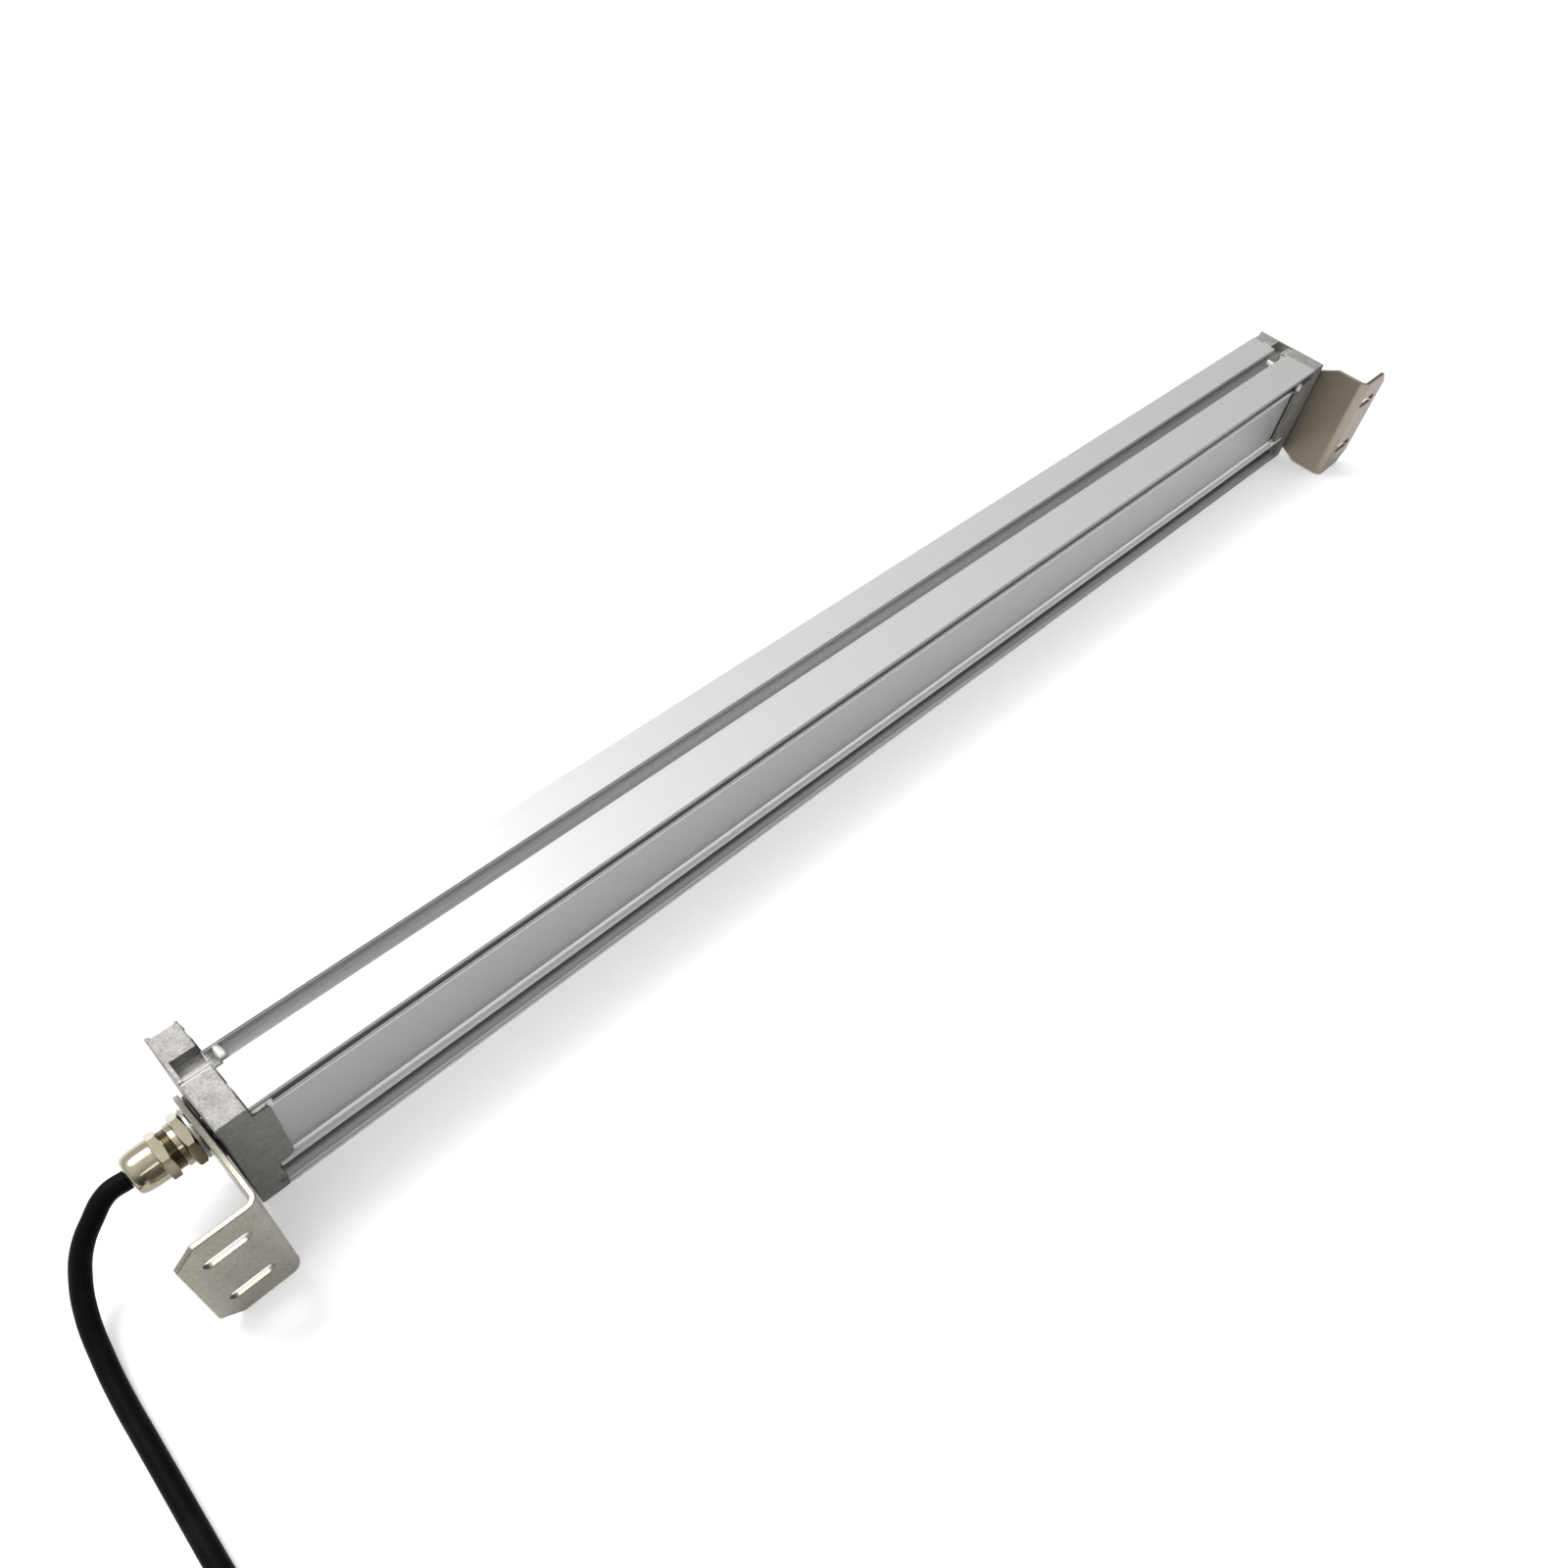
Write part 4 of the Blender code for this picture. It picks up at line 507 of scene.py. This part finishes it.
# Pivots
# The cable gland at one end and a hex plug at the other, both nickel-plated brass. Each clamps its
# bracket between a thin spring washer and a black nylon disc.
nickel = Finish("nickel", (0.33, 0.30, 0.22), 0.17, 1.0)
nickel_film = nickel.grain(160, detail=4)
nickel.set("Base Color", nickel.mix(nickel_film, (0.26, 0.23, 0.16), (0.40, 0.365, 0.28)))
nickel.set("Roughness", 0.11 + 0.12 * nickel_film)
nickel.relief(nickel.grain(2500, detail=2), 0.00001, 0.4)
finishes["nickel"] = nickel
nylon = Finish("black_nylon", (0.02, 0.02, 0.021), 0.5)
nylon_grain = nylon.grain(2200, detail=3)
nylon.set("Roughness", 0.40 + 0.2 * nylon_grain)
nylon.relief(nylon_grain, 0.00005, 0.5)
finishes["black_nylon"] = nylon
rubber = Finish("black_rubber", (0.025, 0.025, 0.026), 0.7)
rubber.relief(rubber.grain(1800, detail=3), 0.00006, 0.5)
finishes["black_rubber"] = rubber
PIVOT_HEIGHT = 0.031
HEX_TURN = math.radians(18)
COLLAR_ENDS = (-0.3600, -0.3550)
COLLAR_BORE = 0.0083
COLLAR_SWELL = 1.08
# Where the gland's steps lie along its axis in the CAD, and where they lie on the real one.
BODY_STATIONS = ((0.3552, 0.3550), (0.3598, 0.3588), (0.3662, 0.3662))
NUT_STATIONS = ((0.3620, 0.3636), (0.3696, 0.3672), (0.3770, 0.3770))
STATION_SLACK = 0.0002
# The neck's outline: distance along the lamp's axis, and radius.
NECK = [
    (0.3586, 0.0071), (0.3587, 0.0079), (0.3590, 0.0082),
    (0.3607, 0.0082), (0.3610, 0.0079), (0.3611, 0.0074),
]
THREAD_CREST = 0.0078
THREAD_ROOT = 0.0073
HALF_PITCH = 0.0003
for ridge in (0.3614, 0.3620, 0.3626):
    NECK += [(ridge, THREAD_CREST), (ridge + HALF_PITCH, THREAD_ROOT)]
NECK += [(0.3632, THREAD_CREST), (0.3635, 0.0072)]


def turn_hex(piece):
    """Turns a hexagon on the pivot's axis, as it happened to stand when it was tight."""
    select_only(piece)
    bpy.ops.object.mode_set(mode="EDIT")
    bpy.ops.mesh.select_all(action="SELECT")
    bpy.ops.transform.rotate(value=HEX_TURN, orient_axis="X", center_override=(0, 0, PIVOT_HEIGHT))
    bpy.ops.object.mode_set(mode="OBJECT")
    return piece


def widen_collar(piece):
    for corner in piece.data.vertices:
        off_axis = corner.co - Vector((corner.co.x, 0, PIVOT_HEIGHT))
        if off_axis.length > COLLAR_BORE and COLLAR_ENDS[0] < corner.co.x < COLLAR_ENDS[1]:
            corner.co += (COLLAR_SWELL - 1) * off_axis


def space_steps(piece, stations):
    """Stretches a piece along its axis, so that its steps move from their old stations to the new."""
    was, now = zip(*stations)
    for corner in piece.data.vertices:
        along = -corner.co.x
        if along > was[0] - STATION_SLACK:
            corner.co.x = -float(np.interp(along, was, now))


def turned(name, outline):
    """A piece turned on a lathe about the pivot's axis at the cable's end."""
    bpy.ops.object.select_all(action="DESELECT")
    bpy.ops.mesh.primitive_plane_add(size=0.001, location=(0, 0, 0))
    piece = bpy.context.object
    piece.name = piece.data.name = name
    bpy.ops.object.mode_set(mode="EDIT")
    bpy.ops.mesh.merge(type="CENTER")
    places = [Vector((-along, 0, PIVOT_HEIGHT + radius)) for along, radius in outline]
    bpy.ops.transform.translate(value=places[0])
    for before, after in zip(places, places[1:]):
        bpy.ops.mesh.extrude_region_move(TRANSFORM_OT_translate={"value": after - before})
    bpy.ops.mesh.select_all(action="SELECT")
    bpy.ops.mesh.spin(steps=72, angle=2 * math.pi, center=(0, 0, PIVOT_HEIGHT), axis=(1, 0, 0))
    bpy.ops.mesh.select_all(action="SELECT")
    bpy.ops.mesh.remove_doubles(threshold=0.000005)
    bpy.ops.mesh.normals_make_consistent(inside=False)
    bpy.ops.object.mode_set(mode="OBJECT")
    bpy.ops.object.shade_smooth_by_angle(angle=SHARPEST_CURVE)
    return piece


collar = turn_hex(skinned("gland_body", "gland_collar", "nickel", 0.0002, 3))
widen_collar(collar)
space_steps(collar, BODY_STATIONS)
dome_nut = turn_hex(skinned("gland_nut", "gland_dome_nut", "nickel", 0.00025, 3))
space_steps(dome_nut, NUT_STATIONS)
turn_hex(skinned("pivot_plug", "hex_plug", "nickel", 0.0002, 3))
fitted(turned("gland_neck", NECK), "nickel")
skinned("gland_seal", "gland_rubber", "black_rubber", 0.0001, 1)
skinned("gland_claw", "gland_clamp", "black_nylon", 0.0001, 1)
for end in ("cable_end", "blind_end"):
    skinned(f"lock_washer_{end}", f"spring_washer_{end}", "zinc_steel", 0.00015)
    skinned(f"friction_washer_{end}", f"nylon_disc_{end}", "black_nylon", 0.0001, 1)


# Light source
# Two white boards with a row of LEDs each, soldered by their two ends and held by small steel screws,
# between two bright aluminium sheets that throw the light out of the window.
led_board = Finish("led_board", (0.82, 0.83, 0.82), 0.35)
over_board = led_board.along(2)
TRACK_HEIGHTS = (0.0262, 0.0285, 0.0335, 0.0358)
HALF_TRACK = 0.0009
TRACK_EDGE = 0.0001
tracks = 0
for height in TRACK_HEIGHTS:
    low, high = height - HALF_TRACK, height + HALF_TRACK
    tracks = tracks + over_board.band(low, low + TRACK_EDGE, high - TRACK_EDGE, high)
led_board.set("Base Color", led_board.mix(0.7 * tracks, (0.84, 0.85, 0.84), (0.72, 0.74, 0.71)))
led_board.relief(tracks + 0.2 * led_board.grain(700, detail=2), 0.00004, 0.5)
finishes["led_board"] = led_board
bright = Finish("bright_sheet", (0.85, 0.86, 0.87), 0.12, 1.0)
rolled = bright.grain(1, (6, 900, 900), 2)
bright.set("Roughness", 0.08 + 0.1 * rolled)
bright.relief(rolled, 0.00001, 0.4)
finishes["bright_sheet"] = bright
for end in ("cable_end", "blind_end"):
    skinned(f"led_board_{end}", f"led_strip_{end}", "led_board", 0.00008, 1)
for level in ("upper", "lower"):
    skinned(f"reflector_{level}", f"bright_sheet_{level}", "bright_sheet", 0.0001, 1)
phosphor = Finish("phosphor", (0.80, 0.58, 0.10), 0.35)
phosphor_grain = phosphor.grain(2600, detail=2)
phosphor.set("Base Color", phosphor.mix(phosphor_grain, (0.74, 0.52, 0.07), (0.86, 0.66, 0.16)))
phosphor.relief(phosphor_grain, 0.00003, 0.4)
solder = Finish("solder", (0.62, 0.62, 0.63), 0.25, 1.0)
solder.set("Roughness", 0.18 + 0.25 * solder.grain(1500, detail=3))
LEDS_PER_BOARD = 12
BOARD_SPANS = ("cable_end", -0.2767, 0.02985), ("blind_end", 0.03015, 0.3367)
BOARD_FRONT = -0.0139
LED_FRONT = -0.0130
PHOSPHOR_SIZE = (0.0027, 0.0006, 0.0027)
SOLDER_SIZE = (0.0007, 0.0005, 0.0028)
SOLDER_REACH = 0.00195
SOLDER_RISE = 0.0001
SCREWED_AFTER = (2, 6, 10)
SCREW_RISE = 0.0007
SCREW_HEIGHT = 0.0375
BLOCK_EDGE = math.radians(50)
# A screw's slot and its rounded edge, as shares of the head's radius, and of its height for the depth.
SLIT_WIDTH = 0.4
SLIT_DEPTH = 1.1
SLIT_LENGTH = 3
HEAD_ROUNDING = 0.12


def rounded_block(size, steps=3, share=0.3):
    """The mesh of a small block about the origin, whose edges are rounded by a share of its thickness."""
    bpy.ops.object.select_all(action="DESELECT")
    bpy.ops.mesh.primitive_cube_add(size=1, location=(0, 0, 0), scale=size)
    block = bpy.context.object
    bpy.ops.object.transform_apply()
    rounded = block.modifiers.new("rounded", "BEVEL")
    rounded.width = share * min(size)
    rounded.segments = steps
    bpy.ops.object.modifier_apply(modifier=rounded.name)
    bpy.ops.object.shade_smooth_by_angle(angle=BLOCK_EDGE)
    mesh = block.data
    bpy.data.objects.remove(block)
    return mesh


def slotted_head(radius, height):
    """The mesh of a low screw head about the origin. It faces the window and has a slot across it."""
    bpy.ops.object.select_all(action="DESELECT")
    bpy.ops.mesh.primitive_cylinder_add(
        vertices=32, radius=radius, depth=height, location=(0, 0, 0), rotation=(math.radians(90), 0, 0)
    )
    head = bpy.context.object
    bpy.ops.object.transform_apply()
    slit_size = (SLIT_WIDTH * radius, SLIT_DEPTH * height, SLIT_LENGTH * radius)
    bpy.ops.mesh.primitive_cube_add(size=1, location=(0, height / 2, 0), scale=slit_size)
    blade = bpy.context.object
    bpy.ops.object.transform_apply()
    slit = head.modifiers.new("slit", "BOOLEAN")
    slit.object = blade
    select_only(head)
    bpy.ops.object.modifier_apply(modifier=slit.name)
    bpy.data.objects.remove(blade)
    rounded = head.modifiers.new("rounded", "BEVEL")
    rounded.width = HEAD_ROUNDING * radius
    rounded.segments = 2
    rounded.limit_method = "ANGLE"
    bpy.ops.object.modifier_apply(modifier=rounded.name)
    bpy.ops.object.shade_smooth_by_angle(angle=SHARPEST_CURVE)
    mesh = head.data
    bpy.data.objects.remove(head)
    return mesh


def placed(mesh, name, place, slot, finish=None):
    """A piece of the lamp with its own copy of a mesh, moved from the origin to its place."""
    piece = bpy.data.objects.new(name, mesh.copy())
    piece.data.name = name
    piece.data.transform(Matrix.Translation(place))
    bpy.context.scene.collection.objects.link(piece)
    return fitted(piece, slot, finish=finish)


phosphor_square = rounded_block(PHOSPHOR_SIZE)
solder_joint = rounded_block(SOLDER_SIZE)
board_screw = slotted_head(0.0017, 0.0014)
for end, start, stop in BOARD_SPANS:
    pitch = (stop - start) / LEDS_PER_BOARD
    for number in range(LEDS_PER_BOARD):
        x = start + (number + 0.5) * pitch
        label = f"{end}_{number + 1}"
        placed(phosphor_square, f"phosphor_{label}", (x, LED_FRONT, PIVOT_HEIGHT), "led_board", phosphor)
        for side in (-1, 1):
            place = (x + side * SOLDER_REACH, BOARD_FRONT + SOLDER_RISE, PIVOT_HEIGHT)
            placed(solder_joint, f"solder_{label}_{side + 1}", place, "led_board", solder)
    for number in SCREWED_AFTER:
        place = (start + number * pitch, BOARD_FRONT + SCREW_RISE, SCREW_HEIGHT)
        placed(board_screw, f"board_screw_{end}_{number}", place, "zinc_steel")


# Driver
# A small circuit board with its choke, capacitor and controller, and a grey terminal block where the
# cable's three cores end, each under a slotted screw. The lead's own cores end in tinned ferrules.
DRIVER_FACE = -0.0138
SLEEVE_TOP = -0.0031
TERMINAL_PLACE = (-0.3232, -0.0056)
TERMINAL_HEIGHTS = (0.026, 0.031, 0.036)
CORE_COLOURS = {
    "brown": (0.10, 0.035, 0.012),
    "blue": (0.01, 0.05, 0.32),
    "green_yellow": (0.05, 0.28, 0.03),
}
STRIPE_YELLOW = (0.55, 0.50, 0.02)
FERRULE_LENGTH = 0.0056
circuit = Finish("circuit_board", (0.02, 0.12, 0.06), 0.35)
laid = circuit.grain(420, (1, 1, 1), 2).between(0.50, 0.52)
masked = circuit.mix(laid, (0.012, 0.085, 0.040), (0.03, 0.16, 0.075))
choke = circuit.inside((-0.2945, DRIVER_FACE, 0.0356), (-0.2829, 0, 0.0472))
wound = circuit.mix(circuit.grain(1, (40, 2400, 40), 1), (0.30, 0.11, 0.03), (0.55, 0.24, 0.09))
sleeve = circuit.inside((-0.3069, DRIVER_FACE, 0.0398), (-0.2985, 0, 0.0483))
can_top = circuit.inside((-0.3069, SLEEVE_TOP, 0.0398), (-0.2985, 0, 0.0483))
controller = circuit.inside((-0.2981, DRIVER_FACE, 0.0231), (-0.2893, 0, 0.0316))
dressed = circuit.mix(controller | sleeve, circuit.mix(choke, masked, wound), (0.018, 0.018, 0.020))
circuit.set("Base Color", circuit.mix(can_top, dressed, (0.62, 0.62, 0.63)))
circuit.set("Metallic", 0.8 * can_top + 0.3 * choke)
circuit.relief(laid, 0.00004, 0.5)
finishes["circuit_board"] = circuit
grey = Finish("grey_plastic", (0.32, 0.33, 0.34), 0.45)
grey_grain = grey.grain(1500, detail=3)
grey.set("Base Color", grey.mix(grey_grain, (0.29, 0.30, 0.31), (0.35, 0.36, 0.37)))
grey.relief(grey_grain, 0.00005, 0.5)
finishes["grey_plastic"] = grey
skinned("driver_board", "driver", "circuit_board", 0.0001, 1)
skinned("terminal_block", "terminals", "grey_plastic", 0.00015)
terminal_screw = slotted_head(0.0012, 0.0012)
for height in TERMINAL_HEIGHTS:
    place = (*TERMINAL_PLACE, height)
    placed(terminal_screw, f"terminal_screw_{1000 * height:.0f}", place, "zinc_steel")
for name, colour in CORE_COLOURS.items():
    insulation = Finish(name, colour, 0.4)
    shades = insulation.grain(300, detail=3)
    lighter = [1.3 * part for part in colour]
    if name == "green_yellow":
        shades = shades.between(0.47, 0.53)
        lighter = STRIPE_YELLOW
    insulation.set("Base Color", insulation.mix(shades, colour, lighter))
    insulation.relief(insulation.grain(1500, detail=2), 0.00004, 0.4)
    finishes[name] = insulation
    skinned(f"core_{name}", f"inner_wire_{name}", name, 0)
    wire = skinned(f"lead_core_{name}", f"lead_wire_{name}", name, 0)
    wire.data.materials.append(solder.material)
    middles = [face.center.copy() for face in wire.data.polygons]
    tip = max(middles, key=lambda middle: (middle - cable_route[-1]).length)
    for face, middle in zip(wire.data.polygons, middles):
        face.material_index = int((middle - tip).length < FERRULE_LENGTH)


# Ties
# Two black nylon bands hold the coil together. Each runs through its own locking head, and its spare
# end is cut short above it.
TIE_ANGLES = {"near": 318, "far": 205}
LOCK = {"out": 0.0573, "height": 0.0165, "size": (0.0032, 0.0088, 0.0062)}
TAIL = {"out": 0.0580, "height": 0.0225, "size": (0.0012, 0.0076, 0.0080)}
on_cable = [f"lead_wire_{name}" for name in CORE_COLOURS]
for place, angle in TIE_ANGLES.items():
    on_cable.append(skinned(f"coil_tie_{place}", f"band_{place}", "black_nylon", 0.0002))
    for kind, part in (("lock", LOCK), ("tail", TAIL)):
        at = COIL_CENTRE + Vector((part["out"], 0, part["height"]))
        piece = placed(rounded_block(part["size"], 2, 0.2), f"tie_{kind}_{place}", at, "black_nylon")
        select_only(piece)
        bpy.ops.object.mode_set(mode="EDIT")
        bpy.ops.mesh.select_all(action="SELECT")
        bpy.ops.transform.rotate(value=-math.radians(angle), orient_axis="Z", center_override=COIL_CENTRE)
        bpy.ops.object.mode_set(mode="OBJECT")
        on_cable.append(piece)
